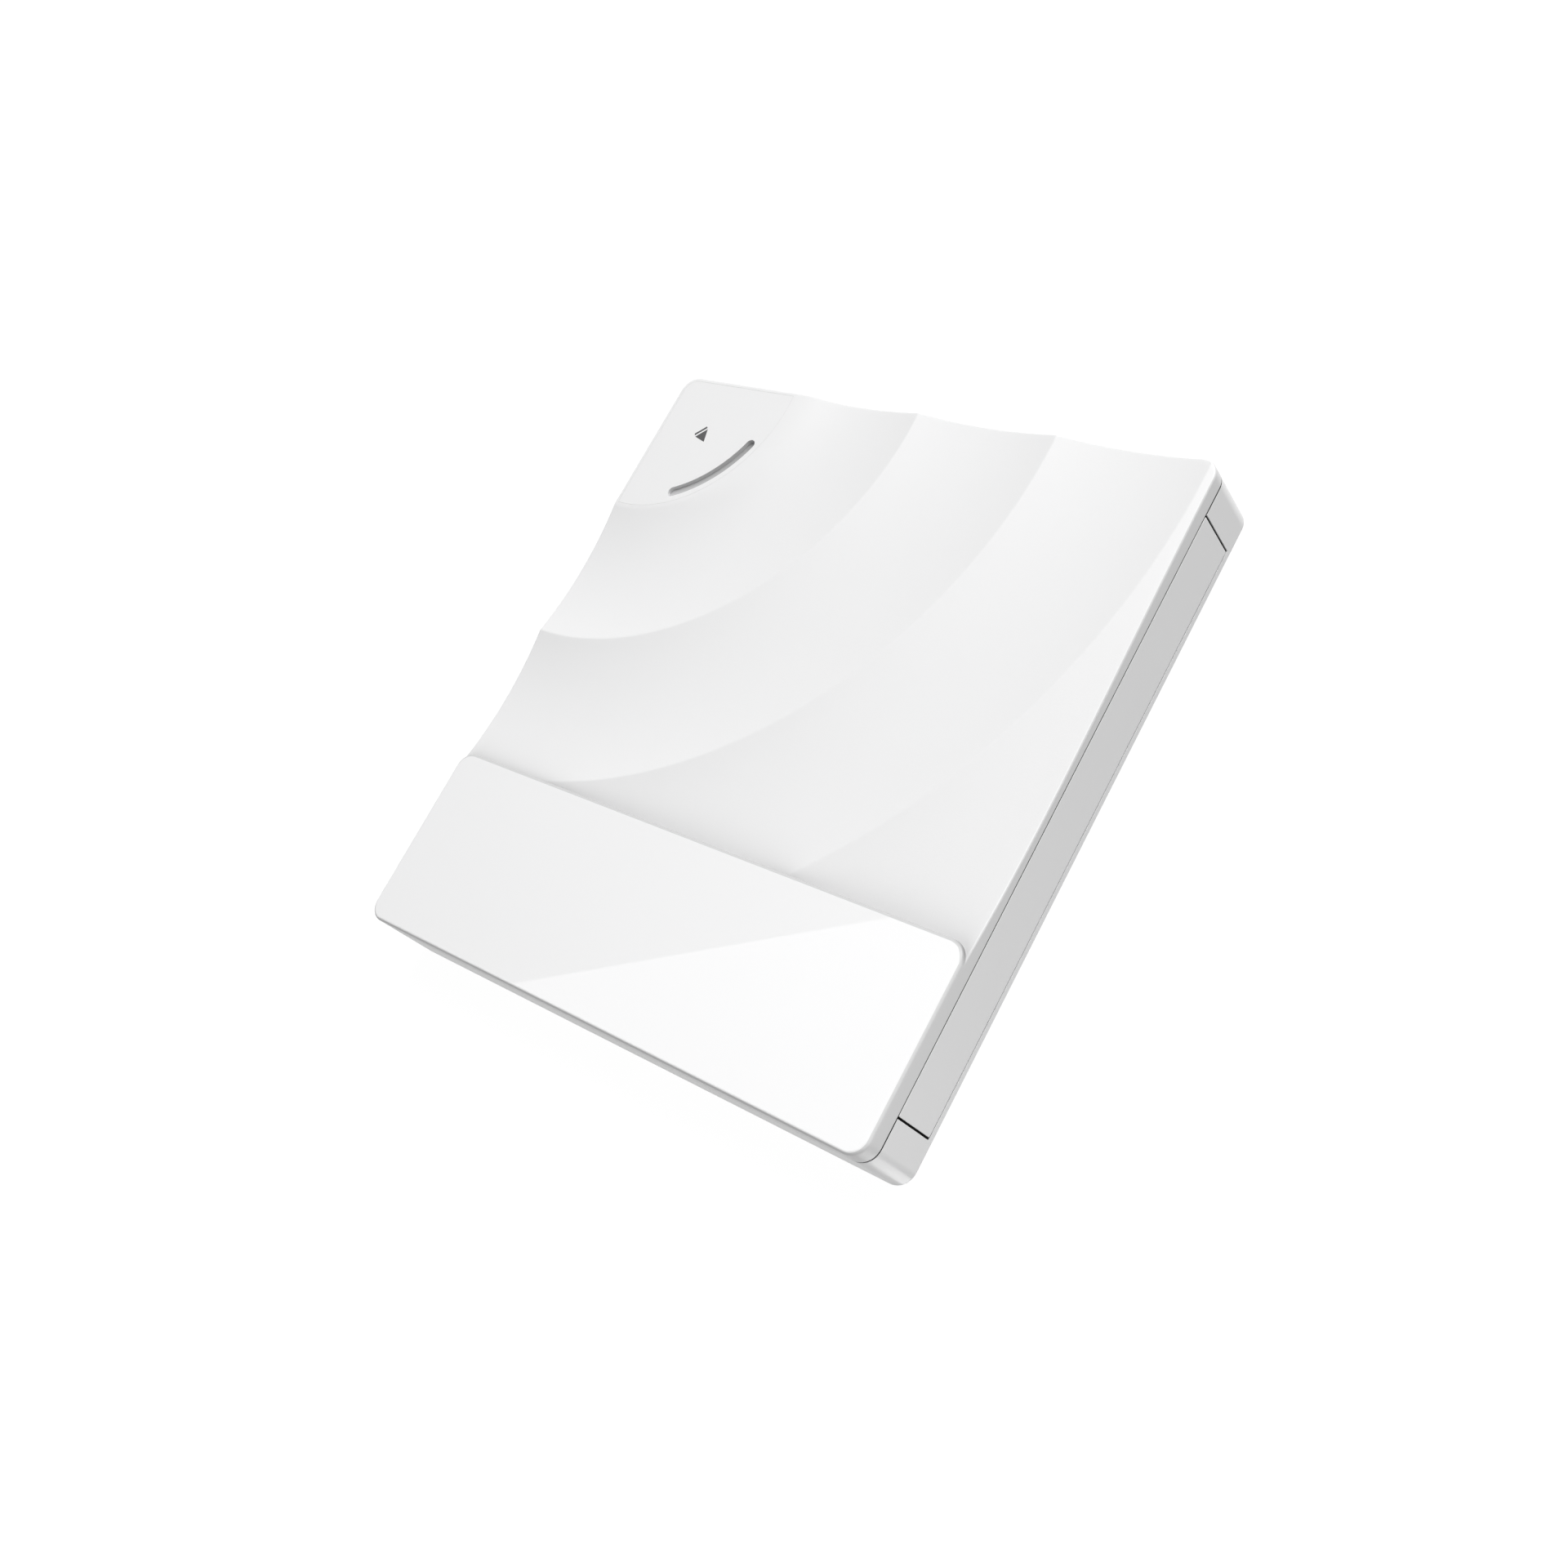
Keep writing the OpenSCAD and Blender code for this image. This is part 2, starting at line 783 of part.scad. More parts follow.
module tray_plate() {
    color("silver")
        difference() {
            box(-tray_side + 0.5, tray_side - 0.5, bezel_back + 2, tray_back, z_plate, z_tray);
            for (p = damper_at)
                disc_unit()
                    post(p, 2.4, z_plate - cut, z_tray + cut);
        }
}

module main_board() {
    color("darkgreen")
        difference() {
            box(main_x[0], main_x[1], main_y[0], main_y[1], z_main, z_main + main_t);
            for (p = main_pins)
                post(p, board_pin_r + fit, z_main - cut, z_main + 2);
        }
}

module main_chips() {
    z0 = z_main + main_t;
    color("black") {
        translate([(main_x[0] + main_x[1]) / 2, (main_y[0] + main_y[1]) / 2, z0]) {
            box(-chip_w / 2, chip_w / 2, -chip_w / 2, chip_w / 2, 0, 1.2);
            box(chip_w * 0.65, chip_w * 1.2, -chip_w * 0.3, chip_w * 0.5, 0, 1);
            box(-chip_w * 1.2, -chip_w * 0.7, -chip_w * 0.9, -chip_w * 0.4, 0, 0.9);
        }
    }
}

module latch_solenoid() {
    x0 = latch_at[0] + latch_side;
    color("chocolate") {
        box(x0, x0 + 12, latch_at[1] - 7, latch_at[1] + 3, z_tray + 0.6, z_roof);
    }
}

module latch_lever() {
    z0 = z_frame + 0.6;
    z1 = z_frame + 2;
    arm = latch_in + latch_reach;
    color("gray")
        translate([latch_at[0], latch_at[1], 0])
            rotate(latch_turn)
                difference() {
                    union() {
                        post([0, 0], 2.6, z0, z1);
                        box(-2.5, 0.5, 0, arm, z0, z1);
                        box(-2.5, 3.4, arm - latch_hook, arm, z0, z1);
                        box(0, 6, -1.5, 1.5, z0, z1);
                    }
                    post([0, 0], pivot_r + run, z0 - cut, z1 + cut);
                }
}

// Disc unit, drawn along its own sled direction

module unit_frame() {
    top = z_frame + frame_t;
    color("silver")
        disc_unit()
            difference() {
                union() {
                    translate([0, 0, z_frame])
                        linear_extrude(frame_t)
                            polygon([
                                [-frame_back, -rod_off - frame_edge], [sled_out + 1.5, -rod_off - frame_edge],
                                [sled_out + 7, -rod_off - 1], [sled_out + frame_nose, -5],
                                [sled_out + frame_nose, 5], [sled_out + 7, rod_off + 1],
                                [sled_out + 1, screw_off + 3], [-frame_back, screw_off + 3]
                            ]);
                    for (r = [9.8, sled_out + 3.8], s = [-1, 1])
                        box(r, r + 2.4, s * rod_off - 2, s * rod_off + 2, top - 0.2, z_axis + rod_r + air);
                    box(sled_out - screw_ear, sled_out + 0.7, screw_off - 1.8, screw_off + 1.8,
                        top - 0.2, z_screw + 1);
                }
                box(13.5, sled_out + 3.6, -rod_off - 2.8, rod_off + 2.9, z_frame - cut, top + cut);
                for (s = [-1, 1])
                    along_sled(9, sled_out + 7, s * rod_off, rod_r + fit);
                along_sled(sled_out - 2, sled_out + 2, screw_off, 0.8 + run, z_screw);
                for (p = damper_at)
                    post(p, 1.9, z_frame - cut, top + cut);
            }
}

module dampers() {
    top = z_frame + frame_t;
    color("black")
        disc_unit()
            for (p = damper_at)
                difference() {
                    union() {
                        post(p, 2.8, z_frame - 0.5, z_frame);
                        post(p, 1.9, z_frame - 0.2, top + 0.2);
                        post(p, 2.8, top, top + 0.6);
                    }
                    post(p, 0.8 + fit, z_frame - 1, top + 1);
                }
}

module damper_screws() {
    color("dimgray")
        disc_unit()
            for (p = damper_at) {
                post(p, 1.9, z_frame - 0.95, z_frame - 0.5);
                post(p, 0.8, z_frame - 0.6, z_roof - 0.5);
            }
}

module guide_rods() {
    color("silver")
        disc_unit()
            for (s = [-1, 1])
                along_sled(9.8, sled_out + 6.2, s * rod_off, rod_r);
}

module stepper_motor() {
    color("gray")
        disc_unit()
            difference() {
                intersection() {
                    along_sled(-13, -1, screw_off, 3.2, z_screw);
                    box(-14, 0, screw_off - 4, screw_off + 4, z_frame + frame_t, z_roof - 0.15);
                }
                along_sled(-4, 0, screw_off, 0.8 + run, z_screw);
            }
}

module lead_screw() {
    turns = floor((sled_out - 3.5) / screw_pitch);
    core = 0.8;
    land = screw_pitch * 0.2;
    flank = screw_pitch * 0.2;
    color("gray")
        disc_unit() {
            along_sled(-3.6, sled_out + 0.7, screw_off, core, z_screw);
            translate([1, screw_off, z_screw])
                rotate([0, 90, 0])
                    rotate_extrude()
                        for (n = [0 : turns - 1])
                            translate([0, n * screw_pitch])
                                polygon([[0, 0], [core, 0], [screw_r, flank], [screw_r, flank + land],
                                    [core, 2 * flank + land], [0, 2 * flank + land]]);
        }
}

module spindle_base() {
    z0 = z_frame + frame_t;
    color("silver")
        disc_unit()
            difference() {
                union() {
                    post([0, 0], 12, z0, z0 + 0.5);
                    post([0, 0], shaft_r + 1.2, z0, z_disc - 2.2);
                }
                post([0, 0], shaft_r + run, z0 + 0.3, z_disc);
            }
}

module stator() {
    z0 = z_frame + frame_t + 0.5;
    color("chocolate")
        disc_unit()
            difference() {
                post([0, 0], rotor_r - 1.2, z0, z0 + 1.8);
                post([0, 0], shaft_r + 1.2 + fit, z0 - cut, z0 + 3);
                for (a = [0 : 40 : 320])
                    rotate(a)
                        box(rotor_r - 5.5, rotor_r, -0.9, 0.9, z0 + 0.5, z0 + 3);
            }
}

module spindle_shaft() {
    color("silver")
        disc_unit()
            post([0, 0], shaft_r, z_frame + frame_t + 0.6, z_disc + 0.8);
}

module rotor_cup() {
    color("gray")
        disc_unit()
            difference() {
                post([0, 0], rotor_r, z_frame + frame_t + 0.9, z_disc - 1.4);
                post([0, 0], rotor_r - 0.6, z_frame, z_disc - 2);
                post([0, 0], shaft_r + fit, z_frame, z_disc);
            }
}

module turntable() {
    color("dimgray")
        disc_unit()
            difference() {
                post([0, 0], turntable_r, z_disc - 1.4, z_disc - 0.5);
                post([0, 0], shaft_r + fit, z_frame, z_disc);
            }
}

module turntable_ring() {
    color("black")
        disc_unit()
            difference() {
                post([0, 0], turntable_r - 0.5, z_disc - 0.5, z_disc);
                post([0, 0], turntable_r - 4.5, z_frame, z_disc + cut);
            }
}

module clamp_hub() {
    color("gainsboro")
        disc_unit()
            difference() {
                rotate_extrude()
                    polygon([
                        [0, z_disc - 0.5], [turntable_r - 4.6, z_disc - 0.5], [turntable_r - 4.6, z_disc],
                        [hub_r, z_disc], [hub_r, z_claw], [hub_r - 0.6, z_claw + 0.9],
                        [hub_r - 1.6, z_claw + 1.4], [0, z_claw + 1.4]
                    ]);
                post([0, 0], shaft_r + fit, z_frame, z_disc + 0.8);
                for (a = claw_turn)
                    rotate(a)
                        box(3, hub_r + 1, -1.25, 1.25, z_claw, z_claw + 1);
            }
}

module claw(a) {
    color("white")
        disc_unit()
            rotate(a)
                box(4.2, hub_r + 0.45, -1.1, 1.1, z_claw + 0.12, z_claw + 0.85);
}

module claw_a() {
    claw(claw_turn[0]);
}

module claw_b() {
    claw(claw_turn[1]);
}

module claw_c() {
    claw(claw_turn[2]);
}

module pickup_sled() {
    top = z_disc - 1.8;
    low_top = z_roof - air;
    color("dimgray")
        disc_unit()
            difference() {
                union() {
                    box(lens_in - 8, lens_in + 8, -12, 12, sled_z, top);
                    box(lens_in - shoe, lens_in + shoe, -rod_off - 2, rod_off + 2.4, z_frame + 0.2, low_top);
                }
                along_sled(0, 2 * lens_in, rod_off, rod_r + run);
                box(0, 2 * lens_in, -rod_off - 4, -rod_off + rod_r + air, z_axis - rod_r - run,
                    z_axis + rod_r + run);
                box(lens_in - 3.4, lens_in + 3.4, -4.6, 4.6, z_disc - 3.4, top + cut);
            }
}

module rack_follower() {
    end = lens_in - screw_ear - air;
    color("white")
        disc_unit()
            box(end - follower_len, end, rod_off + 2.4, screw_off - screw_r - 0.2, z_screw - 0.8,
                z_screw + 0.8);
}

module lens_holder() {
    color("black")
        disc_unit()
            difference() {
                box(lens_in - 2.9, lens_in + 2.9, -4, 4, z_disc - 2.9, z_disc - 1.3);
                post([lens_in, 0], lens_r + fit, z_disc - 1.9, z_disc);
            }
}

module objective_lens() {
    color("lightblue")
        disc_unit()
            intersection() {
                post([lens_in, 0], lens_r, z_disc - 1.9, z_disc - 0.8);
                translate([lens_in, 0, z_disc - 4.3])
                    sphere(r = 3.5);
            }
}

// Drawing

bottom_case();
top_cover();
gloss_panel();
rubber_feet();
case_screws();
bridge_board();
bridge_chips();
usb_shell();
usb_tongue();
sata_socket();
key_board();
tact_switch();
status_led();
key_ribbon();
eject_key();
light_bar();
switch_plunger();
drive_pan();
drive_lid();
lid_screws();
left_guide();
right_guide();
latch_post();
interface_board();
sata_plug();
drive_flex();
kick_pin();
left_rail();
right_rail();
tray();
tray_bezel();
tray_plate();
main_board();
main_chips();
latch_solenoid();
latch_lever();
unit_frame();
dampers();
damper_screws();
guide_rods();
stepper_motor();
lead_screw();
spindle_base();
stator();
spindle_shaft();
rotor_cup();
turntable();
turntable_ring();
clamp_hub();
claw_a();
claw_b();
claw_c();
pickup_sled();
rack_follower();
lens_holder();
objective_lens();
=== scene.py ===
"""External disc drive with a rippled white cover, a gloss side panel and a sliding tray.

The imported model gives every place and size. Lengths below are in millimetres and are
turned into metres where a mesh, light or camera is made.
"""
import math

import bmesh
import bpy
from mathutils import Matrix, Quaternion, Vector
from mathutils.geometry import delaunay_2d_cdt


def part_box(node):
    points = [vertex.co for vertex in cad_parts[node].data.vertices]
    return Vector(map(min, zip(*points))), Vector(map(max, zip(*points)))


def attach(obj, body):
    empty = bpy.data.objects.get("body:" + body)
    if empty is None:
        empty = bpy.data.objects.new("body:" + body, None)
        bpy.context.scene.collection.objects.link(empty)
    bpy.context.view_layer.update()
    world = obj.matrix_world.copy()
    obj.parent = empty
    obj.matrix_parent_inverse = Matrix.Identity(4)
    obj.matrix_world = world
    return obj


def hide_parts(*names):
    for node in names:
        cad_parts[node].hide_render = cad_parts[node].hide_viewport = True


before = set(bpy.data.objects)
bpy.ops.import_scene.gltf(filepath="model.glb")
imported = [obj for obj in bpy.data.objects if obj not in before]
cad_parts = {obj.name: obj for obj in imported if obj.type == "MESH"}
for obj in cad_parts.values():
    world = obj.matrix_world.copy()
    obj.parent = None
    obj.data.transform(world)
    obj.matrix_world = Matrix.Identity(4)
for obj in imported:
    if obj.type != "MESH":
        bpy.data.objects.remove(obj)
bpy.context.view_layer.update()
MM = 0.001


def box_mm(node):
    """The lowest and highest corner of a node's box."""
    lo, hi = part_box(node)
    return lo / MM, hi / MM


def middle(node):
    """The middle of a node's box."""
    lo, hi = box_mm(node)
    return (lo + hi) / 2


# Places read from the frame
BASE_HI = box_mm("bottom_case")[1]
PANEL_LO, PANEL_HI = box_mm("gloss_panel")
KEY_HI = box_mm("eject_key")[1]
BEZEL_LO, BEZEL_HI = box_mm("tray_bezel")
BAR_LO, BAR_HI = box_mm("light_bar")
HALF_W = BASE_HI.x
HALF_D = BASE_HI.y
Z_SEAM = BASE_HI.z
Z_SHELF = PANEL_LO.z
Z_TOP = PANEL_HI.z
Z_FLAT = KEY_HI.z

# Case and cover
CORNER_R = 4.0
WALL = 1.8
SEAM_GAP = 0.35
Z_COVER = Z_SEAM + SEAM_GAP
CEILING_RISE = 1.2
Z_CEIL = Z_SEAM + CEILING_RISE
EDGE_R = 0.45
SEAM_EDGE = 0.12
PANEL_R = 4.0
PANEL_EDGE = 0.75
PANEL_OVER = 0.1
PANEL_X = PANEL_HI.x + PANEL_OVER
CASE_EDGE = 0.08
FOOT_EDGE = 0.35
FOOT_EDGE_STEPS = 3

# Ripples round the corner key
RING_AT = (HALF_W - 4.5, HALF_D - 3.0)
RING_R = 32.0
RING_PITCH = 36.1
RING_DEPTH = 1.65
RING_FALL = 0.1
RING_COUNT = 5
RING_SLOPE = 4 * RING_DEPTH / RING_PITCH
RIDGE_SOFT = 0.3
FIRST_SOFT = 1.2
FIRST_EASE = 5.0
FIRST_EASE_FROM = 200.0
FIRST_EASE_SPAN = 50.0
FIRST_FADE = 14.0
ROUND_OFF = 1e-9

# How finely outlines and the cover are cut
CORNER_STEPS = 10
KEY_ARC_STEPS = 72
SLOT_STEPS = 48
SLOT_END_STEPS = 14
PANEL_EDGE_STEPS = 6
KEY_EDGE_STEPS = 3
RING_STEP = 1.5
ARC_STEP = 2.4
RIPPLE_SPAN = (170, 280)
RIDGE_SPAN = (165, 285)
RIDGE_STEP = 1.5
OUTLINE_STEP = 1.4
EDGE_STEPS = 6
EDGE_CLEAR = 0.3
SAME_POINT = 1e-5
NO_STEP = 1e-6

# Eject key
KEY_RIM = 1.0
KEY_GAP = 0.03
KEY_T = 2.2
KEY_EDGE = 0.01
Z_KEY = Z_FLAT - KEY_T
LEDGE_DROP = 0.6
LEDGE_RIM = WALL + 0.2
LEDGE_GAP = 0.6
Z_LEDGE = Z_KEY - LEDGE_DROP
STEM_R = 2.0
SLOT_R = RING_R - 2.7
SLOT_HALF = 1.25
SLOT_MID = 227.0
SLOT_SPAN = 43.0
SLOT_EDGE = 0.05
GUIDE_GAP = 0.02
GUIDE_RISE = 0.2
GUIDE_EDGE = 0.08
MARK_T = 0.015
MARK_AT = (10.05, 11.1)
MARK_HALF = 1.75
MARK_LONG = 3.1
MARK_GAP = 0.45
MARK_BAR = 0.55

# Tray front
BEZEL_EDGE = 0.1
BEZEL_R = 0.3
BEZEL_R_STEPS = 4
BEZEL_END = 0.18
BEZEL_FOOT = 0.15
BEZEL_RISE = 0.25
# Dark strip round the tray front, set into the gap as painted shade: its setback, depth and overlaps.
FRONT_SHADE_BACK = 0.2
FRONT_SHADE_DEPTH = 0.5
FRONT_SHADE_PROUD = 0.08
FRONT_SHADE_END = 0.22
FRONT_SHADE_IN = 0.35

# Seam between cover and lower shell
# Dark strip in the seam, set into the gap as painted shade: its setback, depth, lift and clearances.
SEAM_BACK = 0.08
SEAM_DEPTH = 0.9
SEAM_LIFT = 0.13
SEAM_CLEAR = 0.02
SEAM_END = 0.6

# Disc unit, laid out along the line from the spindle to the lens
SPINDLE = middle("spindle_shaft").xy
LENS = middle("objective_lens").xy
ALONG = (LENS - SPINDLE).normalized()
ACROSS = Vector((-ALONG.y, ALONG.x))
Z_SLED = box_mm("pickup_sled")[1].z
Z_HOLDER = box_mm("lens_holder")[1].z
Z_PLATE = box_mm("tray_plate")[1].z
SLED_END = 8.0
SLED_FOOT = 5.9
LENS_WELL = (3.4, 4.6)
HOLDER_END = 2.9
LENS_R = 2.1


# Outlines in the plan

def arc(centre, r, a0, a1, n):
    """Points on an arc from a0 to a1 degrees, both ends included."""
    turns = [math.radians(a0 + (a1 - a0) * i / n) for i in range(n + 1)]
    return [(centre[0] + r * math.cos(t), centre[1] + r * math.sin(t)) for t in turns]


def circle(centre, r, n=24):
    """Points round a whole circle."""
    return arc(centre, r, 0, 360 - 360 / n, n - 1)


def spaced(loop, step):
    """The same closed outline with points no further apart than step."""
    out = []
    for a, b in zip(loop, loop[1:] + loop[:1]):
        n = max(1, math.ceil(math.dist(a, b) / step))
        out += [(a[0] + (b[0] - a[0]) * i / n, a[1] + (b[1] - a[1]) * i / n) for i in range(n)]
    return out


def round_rect(x0, x1, y0, y1, radii, n=CORNER_STEPS):
    """Outline with a radius for each corner: lower left, lower right, upper right, upper left."""
    ll, lr, ur, ul = radii
    return (arc((x0 + ll, y0 + ll), ll, 180, 270, n) + arc((x1 - lr, y0 + lr), lr, 270, 360, n)
            + arc((x1 - ur, y1 - ur), ur, 0, 90, n) + arc((x0 + ul, y1 - ul), ul, 90, 180, n))


def case_loop(inset):
    """The case outline, moved inwards."""
    w = HALF_W - inset
    d = HALF_D - inset
    return round_rect(-w, w, -d, d, [CORNER_R - inset] * 4)


def around_from_front(inset):
    """The case outline, open along its front: from the right front corner round to the left one."""
    loop = case_loop(inset)
    first = len(loop) // 4
    return loop[first:] + loop[:first]


def panel_loop(inset):
    """The side panel's outline, moved inwards."""
    outer = CORNER_R - inset
    inner = PANEL_R - inset
    return round_rect(-HALF_W + inset, PANEL_X - inset, -HALF_D + inset, HALF_D - inset,
                      (outer, inner, inner, outer))


def key_loop(rim, gap):
    """Corner piece inside the first ridge, kept rim from the case edge and gap from the ridge."""
    r = RING_R - gap
    x = HALF_W - rim
    y = HALF_D - rim
    corner = CORNER_R - rim
    a_right = -math.degrees(math.acos((x - RING_AT[0]) / r)) % 360
    a_back = 180 - math.degrees(math.asin((y - RING_AT[1]) / r))
    return (arc((x - corner, y - corner), corner, 0, 90, CORNER_STEPS)
            + arc(RING_AT, r, a_back, a_right, KEY_ARC_STEPS))


def unit_loop(along, across, r, n=5):
    """Rounded outline on the disc unit: its spans along and across the sled's way, from the lens."""
    local = round_rect(along[0], along[1], across[0], across[1], [r] * 4, n)
    return [tuple(LENS + ALONG * u + ACROSS * v) for u, v in local]


def slot_loop(half):
    """The curved slot's outline, half wide on either side of its middle line."""
    a0 = SLOT_MID - SLOT_SPAN / 2
    a1 = SLOT_MID + SLOT_SPAN / 2
    ends = [arc(RING_AT, SLOT_R, a, a, 1)[0] for a in (a0, a1)]
    return (arc(RING_AT, SLOT_R + half, a0, a1, SLOT_STEPS)
            + arc(ends[1], half, a1, a1 + 180, SLOT_END_STEPS)[1:-1]
            + arc(RING_AT, SLOT_R - half, a1, a0, SLOT_STEPS)
            + arc(ends[0], half, a0 + 180, a0 + 360, SLOT_END_STEPS)[1:-1])


def inside(point, loop):
    """True if the point lies within the closed outline."""
    x, y = point
    odd = False
    for (x0, y0), (x1, y1) in zip(loop, loop[1:] + loop[:1]):
        if (y0 > y) != (y1 > y) and x < x0 + (y - y0) / (y1 - y0) * (x1 - x0):
            odd = not odd
    return odd


# Heights of the rippled top

def ripple_height(r):
    """Height of the top at distance r from the ring centre, before its outer edge is rounded."""
    if r <= RING_R:
        return Z_FLAT
    reach = math.hypot(RING_PITCH, RING_FALL)
    bend = (reach * reach / 4 + RING_DEPTH * RING_DEPTH) / (2 * RING_DEPTH)
    n = int((r - RING_R) / RING_PITCH + ROUND_OFF)
    mid_r = RING_R + (n + 0.5) * RING_PITCH + RING_FALL / reach * (bend - RING_DEPTH)
    mid_z = Z_FLAT - (n + 0.5) * RING_FALL + RING_PITCH / reach * (bend - RING_DEPTH)
    return mid_z - math.sqrt(bend * bend - (r - mid_r) ** 2)


def ridge_drop(r):
    """How far a ridge is rounded down from its sharp crest."""
    n = round((r - RING_R) / RING_PITCH)
    off = abs(r - RING_R - n * RING_PITCH)
    return max(0.0, 1 - off / RIDGE_SOFT) ** 2 * RING_SLOPE * RIDGE_SOFT / 2 if n > 0 else 0.0


def first_lift(r, turn):
    """Lift of the first ripple's start, so that it leaves the flat key more softly towards the right."""
    off = r - RING_R
    ease = min(max((turn - FIRST_EASE_FROM) / FIRST_EASE_SPAN, 0.0), 1.0)
    soft = FIRST_SOFT + FIRST_EASE * ease * ease * (3 - 2 * ease)
    if off <= 0 or off >= soft + FIRST_FADE:
        return 0.0
    if off < soft:
        return RING_SLOPE * off * (1 - off / (2 * soft))
    return RING_SLOPE * soft / 2 * (1 - (off - soft) / FIRST_FADE) ** 2


def edge_distance(x, y):
    """Distance inwards from the case outline."""
    dx = abs(x) - (HALF_W - CORNER_R)
    dy = abs(y) - (HALF_D - CORNER_R)
    if dx > 0 and dy > 0:
        return CORNER_R - math.hypot(dx, dy)
    return CORNER_R - max(dx, dy)


def edge_drop(t):
    """Fall of the rounded outer edge at distance t from the outline."""
    s = EDGE_R - min(max(t, 0.0), EDGE_R)
    return EDGE_R - math.sqrt(EDGE_R * EDGE_R - s * s)


def top_height(x, y):
    """Height of the rippled top at a place in the plan."""
    r = math.dist((x, y), RING_AT)
    turn = math.degrees(math.atan2(y - RING_AT[1], x - RING_AT[0])) % 360
    return ripple_height(r) + first_lift(r, turn) - ridge_drop(r) - edge_drop(edge_distance(x, y))


# Shader maths

UP_FROM = 0.8


class Sock:
    """A shader value. Sums and products of these add the Math nodes that work them out."""

    def __init__(self, finish, socket):
        self.finish = finish
        self.socket = socket

    def maths(self, operation, *values):
        return self.finish.node("ShaderNodeMath", {"operation": operation}, dict(enumerate(values)))

    def __add__(self, other):
        return self.maths("ADD", self, other)

    def __sub__(self, other):
        return self.maths("SUBTRACT", self, other)

    def __rsub__(self, other):
        return self.maths("SUBTRACT", other, self)

    def __mul__(self, other):
        return self.maths("MULTIPLY", self, other)

    def __truediv__(self, other):
        return self.maths("DIVIDE", self, other)

    def above(self, edge):
        return self.maths("GREATER_THAN", self, edge)

    def power(self, exponent):
        return self.maths("POWER", self, exponent)

    def at_least(self, low):
        return self.maths("MAXIMUM", self, low)

    def size(self):
        return self.maths("ABSOLUTE", self)

    def sine(self):
        return self.maths("SINE", self)

    def exponent(self):
        return self.maths("EXPONENT", self)

    def held(self):
        """The value kept between 0 and 1."""
        return self.finish.node("ShaderNodeClamp", None, {0: self})

    __radd__ = __add__
    __rmul__ = __mul__


class Finish:
    """A material being made: its node tree, and the shader at its end."""

    def __init__(self, name, colour, roughness, metallic=0.0, **constants):
        self.material = bpy.data.materials.new(name)
        self.material.use_nodes = True
        self.material.diffuse_color = (*colour, 1.0)
        self.tree = self.material.node_tree
        self.shader = self.tree.nodes["Principled BSDF"]
        self.set("Base Color", (*colour, 1.0))
        self.set("Roughness", roughness)
        self.set("Metallic", metallic)
        for key, value in constants.items():
            self.set(key.replace("_", " ").title().replace("Ior", "IOR"), value)

    def set(self, name, value):
        """Give the shader's socket a value or a link."""
        if isinstance(value, Sock):
            self.tree.links.new(value.socket, self.shader.inputs[name])
        else:
            self.shader.inputs[name].default_value = value

    def node(self, kind, settings=None, inputs=None, out=0):
        """A node of this kind: its settings first, then the values or links of its sockets."""
        made = self.tree.nodes.new(kind)
        for key, value in (settings or {}).items():
            setattr(made, key, value)
        for key, value in (inputs or {}).items():
            if isinstance(value, Sock):
                self.tree.links.new(value.socket, made.inputs[key])
            else:
                made.inputs[key].default_value = value
        return Sock(self, made.outputs[out])

    def place(self):
        """Position on the piece in millimetres."""
        here = self.node("ShaderNodeTexCoord", out="Object")
        return self.node("ShaderNodeVectorMath", {"operation": "SCALE"}, {0: here, "Scale": 1 / MM})

    def axes(self, vector):
        """The three parts of a vector."""
        first = self.node("ShaderNodeSeparateXYZ", None, {0: vector})
        return [Sock(self, socket) for socket in first.socket.node.outputs]

    def stretched(self, vector, scale):
        """The vector with each of its parts scaled."""
        return self.node("ShaderNodeVectorMath", {"operation": "MULTIPLY"}, {0: vector, 1: scale})

    def noise(self, vector, size, detail=2.0, roughness=0.5):
        """Noise from 0 to 1 whose lumps are about size millimetres across."""
        return self.node("ShaderNodeTexNoise", {"noise_dimensions": "3D"},
                         {"Vector": vector, "Scale": 1 / size, "Detail": detail, "Roughness": roughness})

    def mix(self, factor, a, b):
        """Colour a where factor is 0 and colour b where it is 1."""
        a, b = [c if isinstance(c, Sock) else (*c, 1.0) for c in (a, b)]
        return self.node("ShaderNodeMix", {"data_type": "RGBA"}, {0: factor, 6: a, 7: b}, out=2)

    def facing(self):
        """The three parts of the way that the surface faces."""
        return self.axes(self.node("ShaderNodeNewGeometry", out="Normal"))

    def facing_up(self):
        """1 on surfaces that face up, 0 on walls."""
        return self.facing()[2].above(UP_FROM)

    def bump(self, height, depth_mm, strength=1.0):
        """Relief in the surface, from a height between 0 and 1."""
        self.set("Normal", self.node("ShaderNodeBump", None, {
            "Height": height, "Distance": depth_mm * MM, "Strength": strength}))


def tint(colour, factor):
    """The colour made darker or paler."""
    return tuple(min(1.0, c * factor) for c in colour)


# Finishes

WHITE = (0.86, 0.86, 0.862)
# Painted shade: how much darker than the tops the walls of the cover and side panel are coloured.
PAINTED_WALL_SHADE = 0.8
# Painted shade on the side panel: its walls that face the ripples, and its notch at the inner front corner.
PAINTED_INNER_SHADE = 0.55
INNER_CUT = 1.5
PAINTED_NOTCH_SHADE = 0.3
PANEL_FLAT = 0.88
WIRE_RATE = 6.3
TRACK_RATE = 7.0
COIL_RATE = 16.0
# Painted shade on the cover's top beside the side panel: its tone, its reach for each millimetre of step up
# to the panel, and its strength.
PAINTED_FOOT_SHADE = 0.3
FOOT_SHADE_REACH = 1.2
FOOT_SHADE_DEPTH = 0.44


